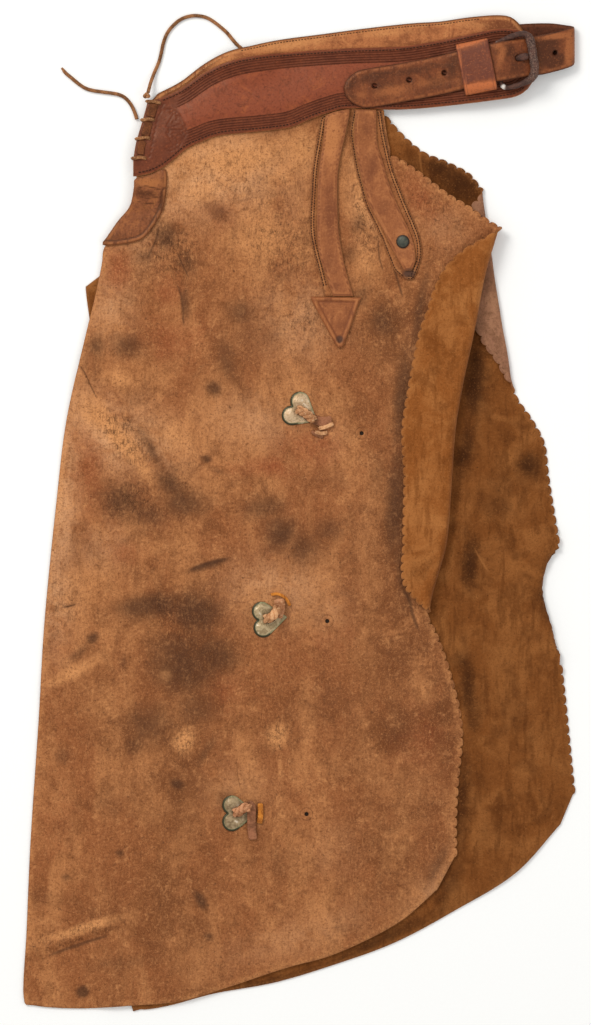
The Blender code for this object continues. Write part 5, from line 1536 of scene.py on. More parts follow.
def applied(name, outline, base, gap, thickness, finish, marks=(), pitch=STRAP_PITCH, form=None):
    """A flat piece sewn on a surface, which it follows. form lifts its upper side."""
    flat, triangles = cut(outline, pitch)
    x, y = flat.T
    edge = distance_to(np.asarray(outline), x, y, True)
    places = np.stack([x, y, laid_on(base, flat, gap)], axis=1)
    table = dict(plain_marks(len(x)), edge=edge)
    for key, rows in dict(marks).items():
        table[key] = spots(rows, x, y)
    made = wall(name, triangles, places, thickness, SUEDE_BROWN, finish, CUT_EDGE, 0.3, **table)
    if form is not None:
        lift = form(x, y, edge)
        for i, height in enumerate(lift.tolist()):
            made.data.vertices[len(x) + i].co.z += height * MM
    return made


def band_outline(rows, step=4):
    right = through([Point(row.right, row.down) for row in rows], step)
    left = through([Point(row.left, row.down) for row in rows], step)
    return np.vstack([right, left[::-1]])


def front_tab(base):
    """The reinforcement below the lacing, with a rolled bead along its lower edge."""
    outline = through(TAB + TAB[:1], 4)[:-1]
    bead = through(TAB[5:11], 3)

    def rolled(x, y, edge):
        away = distance_to(bead, x, y)
        return 1.1 * np.exp(-((away - 1.6) / 1.2) ** 2) - 0.35 * np.exp(-((away - 4.6) / 1.0) ** 2)

    made = applied(
        "chaps_front_tab", outline, base, LAID_GAP, TAB_LEATHER, TAB_HIDE,
        dict(stain=TAB_STAINS, scuff=TAB_SCUFFS), 1.8, rolled,
    )
    x = np.array([vertex.co.x for vertex in made.data.vertices]) / MM + ORIGIN_ACROSS
    y = ORIGIN_DOWN - np.array([vertex.co.y for vertex in made.data.vertices]) / MM
    # The creases and the hollow beside the bead are darkened as painted shade.
    wrinkles = creased(TAB_CREASES, x, y)[1]
    beaded = np.exp(-((distance_to(bead, x, y) - 4.4) / 1.1) ** 2)
    made.data.attributes["trough"].data.foreach_set("value", np.maximum(wrinkles, beaded).astype(np.float32))
    return made


def hip_straps(leg):
    """Two shaped straps sewn on the hip, each on a thinner layer that borders it."""
    def cushioned(x, y, edge):
        return 0.5 * ease(edge / 4) - 0.35 * np.exp(-((edge - 1.9) / 0.6) ** 2)

    def ridged(x, y, edge):
        return 1.6 * np.exp(-((edge - 2.2) / 1.4) ** 2) - 0.5 * np.exp(-((edge - 5.0) / 0.9) ** 2)

    base = surface_of(leg)
    def rolled(x, y, edge):
        return 0.5 * np.exp(-((edge - 2.4) / 1.1) ** 2)

    worn = dict(stain=STRAP_STAINS, hole=TIP_PATCHES)
    border_1 = applied(
        "strap_1_under", band_outline(STRAP_1_BORDER), base, LAID_GAP, 0.9, HIP_BORDER, worn, form=rolled
    )
    border_2 = applied(
        "strap_2_under", band_outline(STRAP_2_BORDER), base, LAID_GAP, 0.9, HIP_BORDER, worn, form=rolled
    )
    worn = dict(worn, scuff=STRAP_SCUFFS)
    strap_1 = applied(
        "strap_1_upper", band_outline(STRAP_1), surface_of(border_1), LAID_GAP, 1.3, HIP_STRAP, worn,
        form=cushioned,
    )
    strap_2 = applied(
        "strap_2_upper", band_outline(STRAP_2), surface_of(border_2), LAID_GAP, 1.3, HIP_STRAP, worn,
        form=cushioned,
    )
    point = applied(
        "strap_1_arrow", through(STRAP_1_POINT + STRAP_1_POINT[:1], 2.4)[:-1], base, LAID_GAP, 1.8,
        HIP_STRAP, dict(stain=STRAP_STAINS, hole=TIP_PATCHES), 1.2, ridged,
    )
    # The grooves along the straps' edges are darkened as painted shade.
    for made, inner in ((point, 4.8), (strap_1, 1.6), (strap_2, 1.6), (border_1, 0.8), (border_2, 0.8)):
        values = np.empty(len(made.data.vertices), np.float32)
        made.data.attributes["edge"].data.foreach_get("value", values)
        grooves = np.exp(-((values - inner) / 0.8) ** 2).astype(np.float32)
        made.data.attributes["trough"].data.foreach_set("value", grooves)
    return border_1, strap_1, border_2, strap_2, point


def swept(name, path, ring, finish, closed=False, twist=0.0):
    """A tube along a path in metres: ring gives the cross section at each share of the length, as
    its half width, half thickness and turn in degrees."""
    path = np.asarray(path, float)
    count = len(path)
    if closed:
        along = np.roll(path, -1, axis=0) - np.roll(path, 1, axis=0)
    else:
        along = np.gradient(path, axis=0)
    along /= np.linalg.norm(along, axis=1)[:, None]
    rows = []
    for i in range(count):
        share = i / (count if closed else count - 1)
        wide, thick, turn = ring(share)
        side = np.cross(along[i], (0, 0, 1))
        if np.linalg.norm(side) < 0.2:
            side = np.cross(along[i], (0.3, 1, 0))
        side /= np.linalg.norm(side)
        lift = np.cross(side, along[i])
        turned = math.radians(turn) + twist * share
        a = side * math.cos(turned) + lift * math.sin(turned)
        b = lift * math.cos(turned) - side * math.sin(turned)
        rows.append([
            path[i] + (a * math.cos(t) * wide + b * math.sin(t) * thick) * MM
            for t in np.linspace(0, 2 * math.pi, TUBE_SIDES + 1)[:-1]
        ])
    points = np.array(rows).reshape(-1, 3)
    faces = []
    for i in range(count if closed else count - 1):
        here, there = i * TUBE_SIDES, (i + 1) % count * TUBE_SIDES
        for k in range(TUBE_SIDES):
            j = (k + 1) % TUBE_SIDES
            faces.append([here + k, here + j, there + j, there + k])
    if not closed:
        faces.append(list(range(TUBE_SIDES))[::-1])
        faces.append([(count - 1) * TUBE_SIDES + k for k in range(TUBE_SIDES)])
    made = new_piece(name, points, faces, [finish])
    facing_out(made)
    return made


def facing_out(made):
    """Turns a closed piece's faces outwards."""
    shape = bmesh.new()
    shape.from_mesh(made.data)
    bmesh.ops.recalc_face_normals(shape, faces=shape.faces)
    if shape.calc_volume(signed=True) < 0:
        bmesh.ops.reverse_faces(shape, faces=shape.faces)
    shape.to_mesh(made.data)
    shape.free()


def joined(name, pieces):
    """Several pieces made one, keeping their finishes."""
    finishes, points, faces, slots = [], [], [], []
    marks = {}
    for made in pieces:
        start = len(points)
        points += [tuple(vertex.co) for vertex in made.data.vertices]
        offset = []
        for finish in made.data.materials:
            if finish not in finishes:
                finishes.append(finish)
            offset.append(finishes.index(finish))
        for face in made.data.polygons:
            faces.append([start + i for i in face.vertices])
            slots.append(offset[face.material_index])
        for layer in made.data.attributes:
            if layer.data_type == "FLOAT" and layer.domain == "POINT":
                values = np.empty(len(made.data.vertices), np.float32)
                layer.data.foreach_get("value", values)
                marks.setdefault(layer.name, []).append((start, values))
    whole = new_piece(name, points, faces, finishes, slots)
    for key, parts in marks.items():
        values = np.zeros(len(points), np.float32)
        for start, part in parts:
            values[start:start + len(part)] = part
        mark_points(whole, **{key: values})
    for made in pieces:
        bpy.data.objects.remove(made)
    return whole


def with_holes(flat, triangles, rings):
    """Drops the triangles that fill each ring of points, so that it is a hole."""
    keep = np.ones(len(triangles), bool)
    for across, down, radius in rings:
        inner = np.hypot(flat[:, 0] - across, flat[:, 1] - down) < radius + 0.02
        keep &= ~inner[triangles].all(axis=1)
    return triangles[keep]


def ring_points(rings):
    return [
        (across + size * math.cos(turn), down + size * math.sin(turn))
        for across, down, radius in rings for size in (radius, radius + 1.0)
        for turn in np.linspace(0, 2 * math.pi, 15)[:-1]
    ]


def belt_strap():
    """The strap from its tip, through the buckle, round its loop and under to the far yoke."""
    rail = through(BELT_STRAP, 1.5)
    run = np.concatenate([[0], np.cumsum(np.linalg.norm(np.diff(rail[:, :3], axis=0), axis=1))])
    first = np.argmax(rail[:, 0])
    half = rail[:, 3] / 2
    outline = np.vstack([
        np.stack([run, -half], axis=1), np.stack([run, half], axis=1)[::-1],
    ])[::2]
    rings = []
    for at, width in [(p, STRAP_HOLE) for p in STRAP_HOLES] + [(TONGUE_HOLE, TONGUE_SLOT * 0.72)]:
        s = float(np.interp(at.across, rail[:first, 0], run[:first]))
        middle = float(np.interp(s, run, rail[:, 1]))
        rings.append((s, at.down - middle, width / 2))
    flat, triangles = cut(outline, STRAP_PITCH, ring_points(rings))
    triangles = with_holes(flat, triangles, rings)
    s, w = flat.T
    lean = np.radians(np.interp(s, run, rail[:, 4]))
    middle = np.stack([np.interp(s, run, rail[:, k]) for k in range(3)], axis=1)
    centre = middle + np.stack([np.sin(lean) * w, np.cos(lean) * w, np.zeros(len(s))], axis=1)
    square = upward(metres(centre), triangles) * (1, -1, 1)
    edge = np.minimum(distance_to(outline, s, w, True), 30)
    thinned = 0.35 * (1 - ease(edge / 2.2))
    places = centre - square * (STRAP_LEATHER / 2 - 0.02)
    x, y = centre[:, 0], centre[:, 1]
    grooves = np.exp(-((edge - 3.4) / 0.6) ** 2) * 0.7
    # Darker rings round the holes: painted shade.
    for across, down, radius in rings:
        grooves = np.maximum(grooves, 0.9 * np.exp(-((np.hypot(s - across, w - down) - radius) / 0.9) ** 2))
    marks = plain_marks(len(s), "stain", "scuff", "trough")
    made = wall(
        "chaps_belt_strap", triangles, places, STRAP_LEATHER, INNER_BELT, BELT, DARK_EDGE, 0.5,
        stain=spots(BELT_STAINS, x, y) * (s < run[first]), scuff=spots(BELT_SCUFFS, x, y),
        trough=grooves, edge=edge, **marks,
    )
    lower = np.array([vertex.normal for vertex in made.data.vertices])
    for i in range(len(s)):
        vertex = made.data.vertices[len(s) + i]
        vertex.co -= Vector(lower[len(s) + i]) * float(thinned[i]) * MM
    # Near-black discs under the strap's holes: painted shade where the holes show through.
    shade_discs = []
    for k, (across, down, radius) in enumerate(rings[:-1]):
        near = int(np.argmin(np.hypot(s - across, w - down)))
        shade_discs.append(disc(f"grime_{k}", made.data.vertices[near].co, Vector(lower[near]), radius + 0.5))
    made = joined("chaps_belt_strap", [made] + shade_discs)
    area = length_of(rail[:, :3]) * STRAP_WIDTH
    return made, length_of(rail[:, :3]), area


def disc(name, seat, down, radius):
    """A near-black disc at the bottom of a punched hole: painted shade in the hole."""
    turn = (-down).to_track_quat("Z", "Y").to_matrix()
    ring = [(radius * math.cos(a), radius * math.sin(a), 0.35) for a in np.linspace(0, 2 * math.pi, 19)[:-1]]
    points = [seat + turn @ Vector(place) * MM for place in ring]
    return new_piece(name, points, [list(range(len(ring)))], [HOLE_SHADE])


def keeper(strap, yoke):
    """The loop of leather over the strap, sewn down on the yoke on both sides of it."""
    strap_top, yoke_top = surface_of(strap), surface_of(yoke)
    along = np.array([math.cos(KEEPER_LEAN), math.sin(KEEPER_LEAN)])
    aside = np.array([-along[1], along[0]])
    reach = STRAP_WIDTH / 2 + KEEPER_BEYOND
    rows = []
    for ahead in np.linspace(0, KEEPER_ACROSS, 24):
        middle = np.array(KEEPER_AT) + along * ahead
        top = max(hung(strap_top, *(middle + aside * k)) for k in (-8, 0, 8)) + 0.9
        lows = [hung(yoke_top, *(middle + aside * reach * side)) + LAID_GAP for side in (-1, 1)]
        profile = [
            (-reach, lows[0]), (-reach + 0.6, lows[0] * 0.5 + top * 0.5), (-reach + 1.8, top - 1.4),
            (-reach + 4.0, top - 0.1), (-12, top + 0.5), (0, top + 0.7), (12, top + 0.5),
            (reach - 4.0, top - 0.1), (reach - 1.8, top - 1.4),
            (reach - 0.6, lows[1] * 0.5 + top * 0.5), (reach, lows[1]),
        ]
        smooth = spaced(through(profile, 1.0), 56)[0]
        rows.append([(*(middle + aside * off), height) for off, height in smooth])
    places = np.array(rows)
    count, across = places.shape[:2]
    places = places.reshape(-1, 3)
    triangles = []
    for i in range(count - 1):
        for k in range(across - 1):
            a, b = i * across + k, (i + 1) * across + k
            triangles += [[a, a + 1, b + 1], [a, b + 1, b]]
    triangles = np.array(triangles)[:, ::-1]
    if upward(metres(places), triangles)[across // 2, 2] < 0:
        triangles = triangles[:, ::-1]
    station, offset = np.divmod(np.arange(len(places)), across)
    side = np.abs(offset / (across - 1) - 0.5) * 2
    end = np.minimum(station, count - 1 - station) * KEEPER_ACROSS / (count - 1)
    return wall(
        "chaps_keeper", triangles, places, KEEPER_LEATHER, SUEDE_BROWN, KEEPER, DARK_EDGE, 0.3,
        stain=0.8 * (1 - ease((side - 0.45) / 0.25)), scuff=1.5 * ease((side - 0.56) / 0.16),
        trough=np.exp(-((end - 3.0) / 0.6) ** 2) * 0.7, edge=end,
        **plain_marks(len(places), "stain", "scuff", "trough"),
    )


def buckle():
    """A bent iron frame, thick on its outer bar and worn bright where the strap pulls on it."""
    rows = through(BUCKLE + BUCKLE[:1], 1.6)[:-1]
    wobble = 1 + 0.05 * np.sin(np.arange(len(rows)) * 0.9) + 0.04 * np.sin(np.arange(len(rows)) * 2.3)
    radii = rows[:, 3] * wobble

    def ring(share):
        row = rows[min(int(share * len(rows)), len(rows) - 1)]
        radius = radii[min(int(share * len(rows)), len(rows) - 1)]
        return radius * (1.04 + 0.28 * float(ease((row[0] - 524) / 6))), radius * 0.96, 0

    frame = swept("chaps_buckle_frame", metres(rows[:, :3]), ring, IRON, closed=True)
    x = np.repeat(rows[:, 0], TUBE_SIDES)
    y = np.repeat(rows[:, 1], TUBE_SIDES)
    mark_points(frame, worn=spots(BUCKLE_WORN, x, y), pitted=ease((x - 524) / 6))
    path = through(TONGUE, 1.0)

    def narrowing(share):
        wide = TONGUE_RADIUS * (0.9 + 1.0 * float(ease((share - 0.35) / 0.5)))
        return wide * min(1, 0.7 + 4 * (1 - share)), TONGUE_RADIUS * 0.8, 0

    tongue = swept("chaps_buckle_tongue", metres(path), narrowing, IRON)
    clear = np.zeros(len(tongue.data.vertices))
    mark_points(tongue, worn=clear, pitted=clear)
    return frame, tongue


def heart(row):
    """A heart of two round lobes and a point; turn is its point's direction, clockwise from right."""
    ahead = CONCHO_POINT + CONCHO_BACK
    start = math.atan2(-CONCHO_ASIDE, -math.sqrt(CONCHO_LOBE ** 2 - CONCHO_ASIDE ** 2)) + 2 * math.pi
    end = math.atan2(-CONCHO_ASIDE, ahead) + math.acos(CONCHO_LOBE / math.hypot(ahead, CONCHO_ASIDE))
    t = np.linspace(start, end, 30)
    forward = np.append(CONCHO_LOBE * np.cos(t) - CONCHO_BACK, CONCHO_POINT - 0.8)
    side = np.append(CONCHO_ASIDE + CONCHO_LOBE * np.sin(t), 0.5)
    forward = np.concatenate([forward, forward[:0:-1]])
    side = np.concatenate([side, -side[:0:-1]])
    turn = math.radians(row.turn)
    return np.stack([
        row.across + forward * math.cos(turn) - side * math.sin(turn),
        row.down + forward * math.sin(turn) + side * math.cos(turn),
    ], axis=1)


def concho(number, row, base):
    """A heart of thin nickel silver with a rolled rim, its lobes domed and its thong slot dark."""
    metal = NICKELS[number - 1]
    outline = spaced(np.vstack([heart(row), heart(row)[:1]]), 90)[0][:-1]
    flat, triangles = cut(outline, 1.2)
    x, y = flat.T
    turn = math.radians(row.turn)
    forward = (x - row.across) * math.cos(turn) + (y - row.down) * math.sin(turn)
    side = (y - row.down) * math.cos(turn) - (x - row.across) * math.sin(turn)
    edge = distance_to(outline, x, y, True)
    domes = np.exp(-(((forward + CONCHO_BACK) / 8) ** 2 + ((np.abs(side) - CONCHO_ASIDE) / 7) ** 2))
    slot = np.exp(-((forward + 1.5) / 1.2) ** 2 - (side / 5.2) ** 4)
    height = laid_on(base, flat, SEAM_GAP, 1.0)
    height = np.full(len(height), np.percentile(height, 60)) * 0.6 + height * 0.4
    places = np.stack([x, y, height], axis=1)
    behind = ease((5 - 0.7 * forward - 0.5 * (x - row.across) + 0.35 * (y - row.down)) / 14)
    rim = (1 - ease((edge - 0.6) / 2.6)) * (0.5 + 0.5 * behind)
    dimple = np.exp(-((forward + CONCHO_BACK + 5) / 2.2) ** 2 - ((np.abs(side) - CONCHO_ASIDE) / 0.8) ** 2)
    made = wall(
        f"chaps_concho_{number}", triangles, places, CONCHO_METAL * 0.6, metal, metal, metal, 0.3,
        rim=rim, slot=np.maximum(slot, 0.55 * dimple), edge=edge,
    )
    lift = 1.5 * domes * ease(edge / 4) + 0.45 * np.exp(-((edge - 1.1) / 0.8) ** 2) - 0.7 * slot - 0.3 * dimple
    for i, value in enumerate(lift.tolist()):
        made.data.vertices[len(x) + i].co.z += value * MM
    return made


def plaited(name, path, finish, strands=3, lay=8.5, radius=1.25, spread=1.25):
    """Thong strands twisted round each other along a path on the sheet."""
    rail = metres(spaced(through(path, 1.0), max(12, round(length_of(path) / 0.8)))[0])
    total = length_of(rail) / MM
    along = np.gradient(rail, axis=0)
    along /= np.linalg.norm(along, axis=1)[:, None]
    side = np.cross(along, (0, 0, 1))
    side /= np.linalg.norm(side, axis=1)[:, None]
    lift = np.cross(side, along)
    made = []
    for strand in range(strands):
        turn = 2 * math.pi * (np.linspace(0, total / lay, len(rail)) + strand / strands)
        line = rail + (side * np.cos(turn)[:, None] + lift * np.sin(turn)[:, None] * 0.7) * spread * MM
        made.append(swept(f"{name}_{strand}", line, lambda share: (radius * 1.15, radius * 0.85, 0), finish))
    return joined(name, made)


def flat_thong(name, path, width, thickness, finish, twist=0.0):
    """A short flat end of thong, its tip cut aslant."""
    rail = spaced(through(path, 1.0), max(8, round(length_of(path) / 0.9)))[0]

    def ring(share):
        tip = min(1.0, 0.82 + 5 * (1 - share), 0.7 + 5 * share)
        return width / 2 * tip, thickness / 2 * (1.3 - 0.3 * tip), 8 * math.sin(5 * share)

    return swept(name, metres(rail), ring, finish, twist=twist)


def concho_thongs(base):
    """The plaited thongs that hold the conchos, with their cut ends turned out."""
    found = []
    for number, (row, thong) in enumerate(zip(CONCHOS, CONCHO_THONGS), 1):
        seat = hung(base, row.across, row.down)
        lift = seat + 2 * SEAM_GAP + CONCHO_METAL + CONCHO_THONG_RADIUS
        path = [(p.across, p.down, lift + p.height - 1.4) for p in thong[:4]]
        pieces = [
            plaited(f"thong_{number}", path, PALE_THONG if number < 3 else PLAIT, lay=16, radius=1.85, spread=2.7),
            # The dark strip under the plait is painted shade in its gaps.
            flat_thong(
                f"thong_{number}_under", [(x, y, z - 2.6) for x, y, z in path], 9.6, 1.6, SHADE_THONG
            ),
        ]
        for end in THONG_ENDS[number - 1]:
            line = [(p.across, p.down, hung(base, p.across, p.down) + p.height) for p in end.path]
            pieces.append(flat_thong(f"thong_{number}_end", line, end.width, 1.3, end.finish))
        found.append(joined(f"chaps_concho_thong_{number}", pieces))
    return found


def rivet(base):
    """The cap of a rivet through strap 2, set square on it."""
    x, y, z = metres((*RIVET_AT, 200))[0]
    seat, normal = base.ray_cast(Vector((x, y, z)), Vector((0, 0, -1)))[:2]
    turn = normal.to_track_quat("Z", "Y").to_matrix()
    profile = [
        (0.05, 0.0), (RIVET_RADIUS * 0.9, 0.0), (RIVET_RADIUS, 0.35), (RIVET_RADIUS * 0.99, 0.8),
        (RIVET_RADIUS * 0.93, 1.15), (RIVET_RADIUS * 0.84, 1.1), (RIVET_RADIUS * 0.78, 1.3),
        (RIVET_RADIUS * 0.6, 1.8), (RIVET_RADIUS * 0.35, RIVET_HEIGHT * 0.9), (0.05, RIVET_HEIGHT * 0.93),
    ]
    sides = 36
    points, rim = [], []
    for radius, height in profile:
        for k in range(sides):
            around = 2 * math.pi * k / sides
            local = Vector((radius * math.cos(around), radius * math.sin(around), height + LAID_GAP))
            points.append(seat + turn @ local * MM)
            rim.append(float(ease((radius / RIVET_RADIUS - 0.7) / 0.15)))
    faces = []
    for i in range(len(profile) - 1):
        for k in range(sides):
            j = (k + 1) % sides
            faces.append([i * sides + k, i * sides + j, (i + 1) * sides + j, (i + 1) * sides + k])
    faces.append(list(range(sides))[::-1])
    faces.append([(len(profile) - 1) * sides + k for k in range(sides)])
    made = new_piece("chaps_rivet", points, faces, [STEEL])
    facing_out(made)
    mark_points(made, rim=np.array(rim))
    return made


def lacing(yoke):
    """The rawhide thong that joins the yokes' fronts: its four wraps and its knot."""
    base = surface_of(yoke)
    half = THONG_WIDTH / 2
    found = []
    for number, (hole, edge) in enumerate(zip(LACE_HOLES, LACE_EDGES), 1):
        start, rim = np.array(hole, float), np.array(edge, float)
        away = (rim - start) / np.linalg.norm(rim - start)
        past = rim + away * 1.5
        seats = [start + (rim - start) * t for t in (0, 0.5, 0.92)]
        high = max(hung(base, *seat) for seat in seats) + 1.1 + LAID_GAP
        path = [
            (*(start + away * 0.2), high - 2.8), (*(start + away * 1.4), high - 0.6),
            (*(seats[1] + (0, -0.8)), high + 0.3), (*seats[2], high), (*past, high - 2.4), (*past, 4.5),
            (*past, half + 0.1),
        ]
        rail = through(path, 0.9)
        found.append(swept(
            f"chaps_lace_wrap_{number}", metres(rail),
            lambda share: (half * 0.95, half * 0.6, 10 * math.sin(9 * share)), LACE,
        ))
    for number, (run, width) in enumerate(LACE_RUNS):
        path = [(p.across, p.down, hung(base, p.across, p.down) + p.height) for p in run]
        strip = flat_thong(f"lace_run_{number}", path, width, 1.3, LACE_BROWN)
        found[number] = joined(f"chaps_lace_wrap_{number + 1}", [found[number], strip])
    t = np.linspace(0, 2 * math.pi, 90)[:-1]
    loops = np.stack([
        (np.sin(t) + 2 * np.sin(2 * t)) / 3 * (KNOT_SIZE[0] - 0.9),
        (np.cos(t) - 2 * np.cos(2 * t)) / 3 * (KNOT_SIZE[1] - 0.9),
        -np.sin(3 * t) * (KNOT_SIZE[2] - 1.2),
    ], axis=1)
    knot = swept(
        "chaps_lace_knot", metres(loops + np.array(KNOT_AT)), lambda share: (1.5, 1.1, 0), LACE, closed=True
    )
    return found, knot


def free_end(name, route):
    """A free end of the lacing: a strip of rawhide that lies in its own curves."""
    rail = metres(through(route, 1.6))
    half = THONG_WIDTH / 2

    def ring(share):
        tip = min(1.0, 0.55 + 9 * (1 - share))
        return half * tip, half * 0.82 * tip, 14 * math.sin(11 * share)

    made = swept(name, rail, ring, THONG)
    return made


def stitch_group():
    """Geometry Nodes that lay a stitch at each point, along and square to the leather there."""
    group = bpy.data.node_groups.new("Stitch rows", "GeometryNodeTree")
    face = group.interface
    face.new_socket("Geometry", in_out="INPUT", socket_type="NodeSocketGeometry")
    face.new_socket("Stitch", in_out="INPUT", socket_type="NodeSocketObject")
    face.new_socket("Thread", in_out="INPUT", socket_type="NodeSocketMaterial")
    face.new_socket("Shortest", in_out="INPUT", socket_type="NodeSocketFloat").default_value = 0.8
    face.new_socket("Seed", in_out="INPUT", socket_type="NodeSocketInt").default_value = 7
    face.new_socket("Geometry", in_out="OUTPUT", socket_type="NodeSocketGeometry")
    given = group.nodes.new("NodeGroupInput").outputs
    square = add(group, "GeometryNodeInputNamedAttribute", {"Name": "square"}, data_type="FLOAT_VECTOR")
    along = add(group, "GeometryNodeInputNamedAttribute", {"Name": "along"}, data_type="FLOAT_VECTOR")
    upright = add(group, "FunctionNodeAlignRotationToVector", {"Vector": square.outputs[0]}, axis="Z")
    turned = add(
        group, "FunctionNodeAlignRotationToVector",
        {"Rotation": upright.outputs[0], "Vector": along.outputs[0]}, axis="X", pivot_axis="Z",
    )
    length = add(
        group, "FunctionNodeRandomValue",
        {"Min": given["Shortest"], "Max": 1.0, "Seed": given["Seed"]}, data_type="FLOAT",
    )
    scale = add(group, "ShaderNodeCombineXYZ", {0: length.outputs[1], 1: 1.0, 2: 1.0})
    stitch = add(group, "GeometryNodeObjectInfo", {"Object": given["Stitch"]})
    laid = add(group, "GeometryNodeInstanceOnPoints", {
        "Points": given["Geometry"], "Instance": stitch.outputs["Geometry"],
        "Rotation": turned.outputs[0], "Scale": scale.outputs[0],
    })
    real = add(group, "GeometryNodeRealizeInstances", {"Geometry": laid.outputs[0]})
    threaded = add(group, "GeometryNodeSetMaterial", {
        "Geometry": real.outputs[0], "Material": given["Thread"],
    })
    done = group.nodes.new("NodeGroupOutput")
    group.links.new(threaded.outputs[0], done.inputs["Geometry"])
    return group


def stitch(length, thickness):
    """One stitch: a short waxed thread whose ends sink into their holes."""
    path = [
        (-length / 2, 0, -0.9 * thickness), (-length * 0.36, 0, 0), (0, 0, thickness * 0.25),
        (length * 0.36, 0, 0), (length / 2, 0, -0.9 * thickness),
    ]
    return swept(
        "one_stitch", np.array(path) * MM, lambda share: (thickness / 2, thickness / 2.4, 0), TAN_THREAD
    )


def stitched(name, lines, base, thread, length=2.4, pitch=3.4, thickness=0.9):
    """Rows of stitches along lines on the sheet, lying on a surface."""
    points, tangents, normals = [], [], []
    for line in lines:
        places = spaced(line, max(2, round(length_of(line) / pitch)))[0]
        rail = []
        for place in metres(np.column_stack([places, np.full(len(places), 200.0)])):
            seat, normal = base.ray_cast(Vector(place), Vector((0, 0, -1)))[:2]
            if seat is not None:
                rail.append((np.array(seat), np.array(normal)))
        for before, (seat, normal), after in zip(rail, rail[1:], rail[2:]):
            points.append(seat + normal * 0.35 * thickness * MM)
            tangents.append(after[0] - before[0])
            normals.append(normal)
    made = new_piece(name, points, [], [])
    for key, values in (("along", tangents), ("square", normals)):
        layer = made.data.attributes.new(key, "FLOAT_VECTOR", "POINT")
        layer.data.foreach_set("vector", np.asarray(values, np.float32).ravel())
    sample = stitch(length, thickness)
    modifier = made.modifiers.new("Stitch rows", "NODES")
    modifier.node_group = STITCHES
    sockets = {item.name: item.identifier for item in STITCHES.interface.items_tree if item.in_out == "INPUT"}
    modifier[sockets["Stitch"]] = sample
    modifier[sockets["Thread"]] = thread
    modifier[sockets["Shortest"]] = 0.82
    modifier[sockets["Seed"]] = 11
    depsgraph = bpy.context.evaluated_depsgraph_get()
    data = bpy.data.meshes.new_from_object(made.evaluated_get(depsgraph))
    made.modifiers.clear()
    made.data = data
    bpy.data.objects.remove(sample)
    return made


def seams(near_yoke, upper, lower, lining, lining_top, borders):
    """Every row of stitches that shows."""
    yoke_top = surface_of(near_yoke)
    rows = [inset_line(lower, 3.0), inset_line(upper, 3.0)]
    found = [(stitched("chaps_yoke_stitches", rows, yoke_top, DARK_THREAD), "near_yoke")]
    shown = lining_top[(lining_top[:, 0] > 236) & (lining_top[:, 0] < 486)]
    front = lining_top[(lining_top[:, 0] > 158) & (lining_top[:, 0] < 230)]
    found.append((
        stitched("chaps_lining_front_stitches", [inset_line(front, 3.6)], surface_of(lining), LIGHT_THREAD, 2.0, 2.9, 0.8),
        "far_yoke_lining",
    ))
    row = inset_line(shown, 2.7)
    found.append((
        stitched("chaps_lining_stitches", [row], surface_of(lining), DARK_THREAD, 2.0, 3.0, 0.7),
        "far_yoke_lining",
    ))
    for number, (made, rows) in enumerate(zip(borders, (STRAP_1_BORDER, STRAP_2_BORDER)), 1):
        outline = band_outline(rows)
        half = len(outline) // 2
        right, left = outline[:half], outline[half:]
        shown = left if number == 1 else right
        lines = [inset_line(shown, -1.2), inset_line(shown, -3.6)]
        if number == 2:
            lines.append(inset_line(left, -1.4))
        found.append((
            stitched(f"chaps_strap_{number}_stitches", lines, surface_of(made), DARK_THREAD, 1.7, 2.6, 0.9),
            "near_leg",
        ))
    return found


def inset_line(line, distance):
    """An open line of points moved to its right hand side."""
    along = np.gradient(np.asarray(line, float), axis=0)
    along /= np.linalg.norm(along, axis=1)[:, None]
    return line + np.stack([along[:, 1], -along[:, 0]], axis=1) * distance


def lamp(name, place, size, power, colour):
    """A soft square light that faces the middle of the table."""
    data = bpy.data.lights.new(name, "AREA")
    data.size = size
    data.energy = power
    data.color = colour
    made = bpy.data.objects.new(name, data)
    made.location = place
    made.rotation_euler = (-Vector(place)).to_track_quat("-Z", "Y").to_euler()
    bpy.context.scene.collection.objects.link(made)


def studio():
    """The white table, its lights and the camera straight above it."""
    board = new_piece("studio_board", [(-4, -4, 0), (4, -4, 0), (4, 4, 0), (-4, 4, 0)], [[0, 1, 2, 3]], [BOARD])
    lamp("key_light", (-1.7, 1.9, 2.6), 1.4, 62, (1.0, 0.98, 0.95))
    lamp("fill_light", (2.2, -0.6, 2.6), 2.0, 14, (0.95, 0.98, 1.0))
    world = bpy.data.worlds.new("Pale studio")
    world.use_nodes = True
    ground = world.node_tree.nodes["Background"]
    ground.inputs["Color"].default_value = linear("#FFFFFF")
    ground.inputs["Strength"].default_value = 0.72
    bpy.context.scene.world = world
    data = bpy.data.cameras.new("camera")
    data.sensor_width = CAMERA_SENSOR
    data.lens = CAMERA_SENSOR * CAMERA_HEIGHT / (SHEET_DOWN * MM)
    data.clip_end = 20
    camera = bpy.data.objects.new("camera", data)
    camera.location = ((SHEET_ACROSS / 2 - ORIGIN_ACROSS) * MM, 0, CAMERA_HEIGHT)
    bpy.context.scene.collection.objects.link(camera)
    bpy.context.scene.camera = camera
    bpy.context.scene.view_settings.view_transform = "Standard"


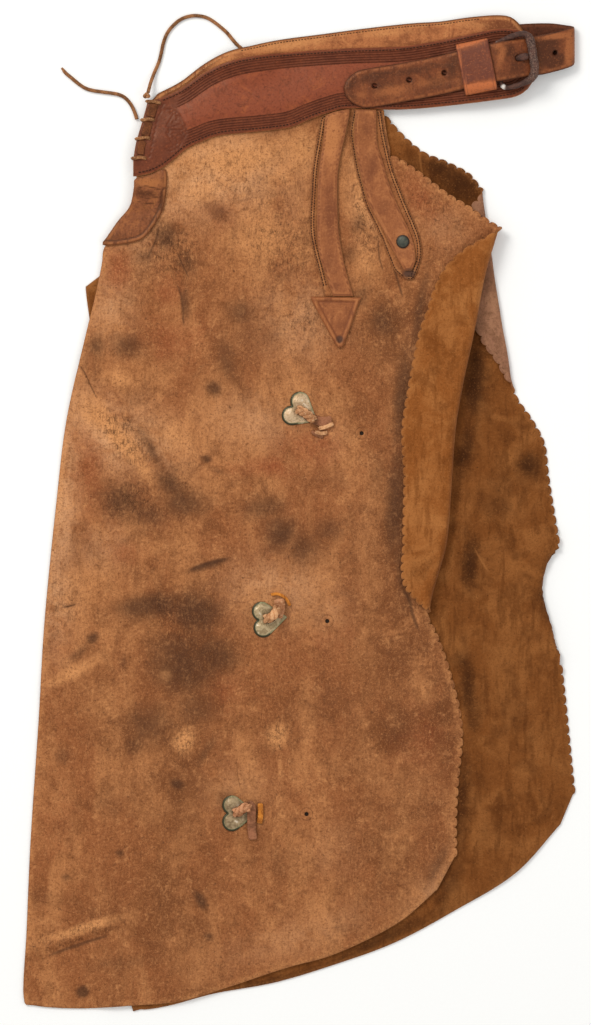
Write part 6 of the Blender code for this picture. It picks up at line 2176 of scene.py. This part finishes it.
def placed(piece, slot, *nodes):
    """Sets a piece on the object's body, in place of CAD nodes."""
    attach(piece, "root")
    if nodes:
        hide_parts(*nodes)


STITCHES = stitch_group()

leg = near_leg()
rear_leg = far_leg()
yoke, yoke_upper, yoke_lower = near_yoke()
rear_yoke, rear_outline, rear_upper = far_yoke()
lining = yoke_lining(rear_outline, rear_upper)
leg_top = surface_of(leg)
tab = front_tab(leg_top)
border_1, strap_1, border_2, strap_2, strap_point = hip_straps(leg)
belt, belt_length, belt_area = belt_strap()
loop = keeper(belt, yoke)
frame_bar, tongue = buckle()
hearts = [concho(number, row, leg_top) for number, row in enumerate(CONCHOS, 1)]
plaits = concho_thongs(leg_top)
stud = rivet(surface_of(strap_2))
wraps, knot = lacing(yoke)
upper_end = free_end("chaps_lace_end_upper", LACE_UPPER)
side_end = free_end("chaps_lace_end_side", LACE_SIDE)
sewing = seams(yoke, yoke_upper, yoke_lower, lining, rear_upper, (border_1, border_2))

placed(leg, "grain_leather", "near_leg")
placed(rear_leg, "suede_leather", "far_leg")
placed(yoke, "yoke_leather", "near_yoke")
placed(rear_yoke, "yoke_leather", "far_yoke")
placed(lining, "lining_leather", "far_yoke_lining")
placed(tab, "yoke_leather", "front_tab")
placed(border_1, "grain_leather", "strap_1_border")
placed(strap_1, "grain_leather", "strap_1")
placed(border_2, "grain_leather", "strap_2_border")
placed(strap_2, "grain_leather", "strap_2")
placed(strap_point, "grain_leather", "strap_1_point")
placed(belt, "strap_leather", "belt_strap")
placed(loop, "keeper_leather", "keeper")
placed(frame_bar, "rusty_iron", "buckle_frame")
placed(tongue, "rusty_iron", "buckle_tongue")
placed(stud, "blued_steel", "rivet")
for number, (plate, plait) in enumerate(zip(hearts, plaits), 1):
    placed(plate, "patinated_nickel", f"concho_{number}")
    placed(plait, "thong", f"concho_thong_{number}")
for number, wrap in enumerate(wraps, 1):
    placed(wrap, "thong", f"lace_wrap_{number}")
placed(knot, "thong", "lace_knot")
placed(upper_end, "thong", "lace_end_upper")
placed(side_end, "thong", "lace_end_side")
for rows, node in sewing:
    placed(rows, "thong")

studio()
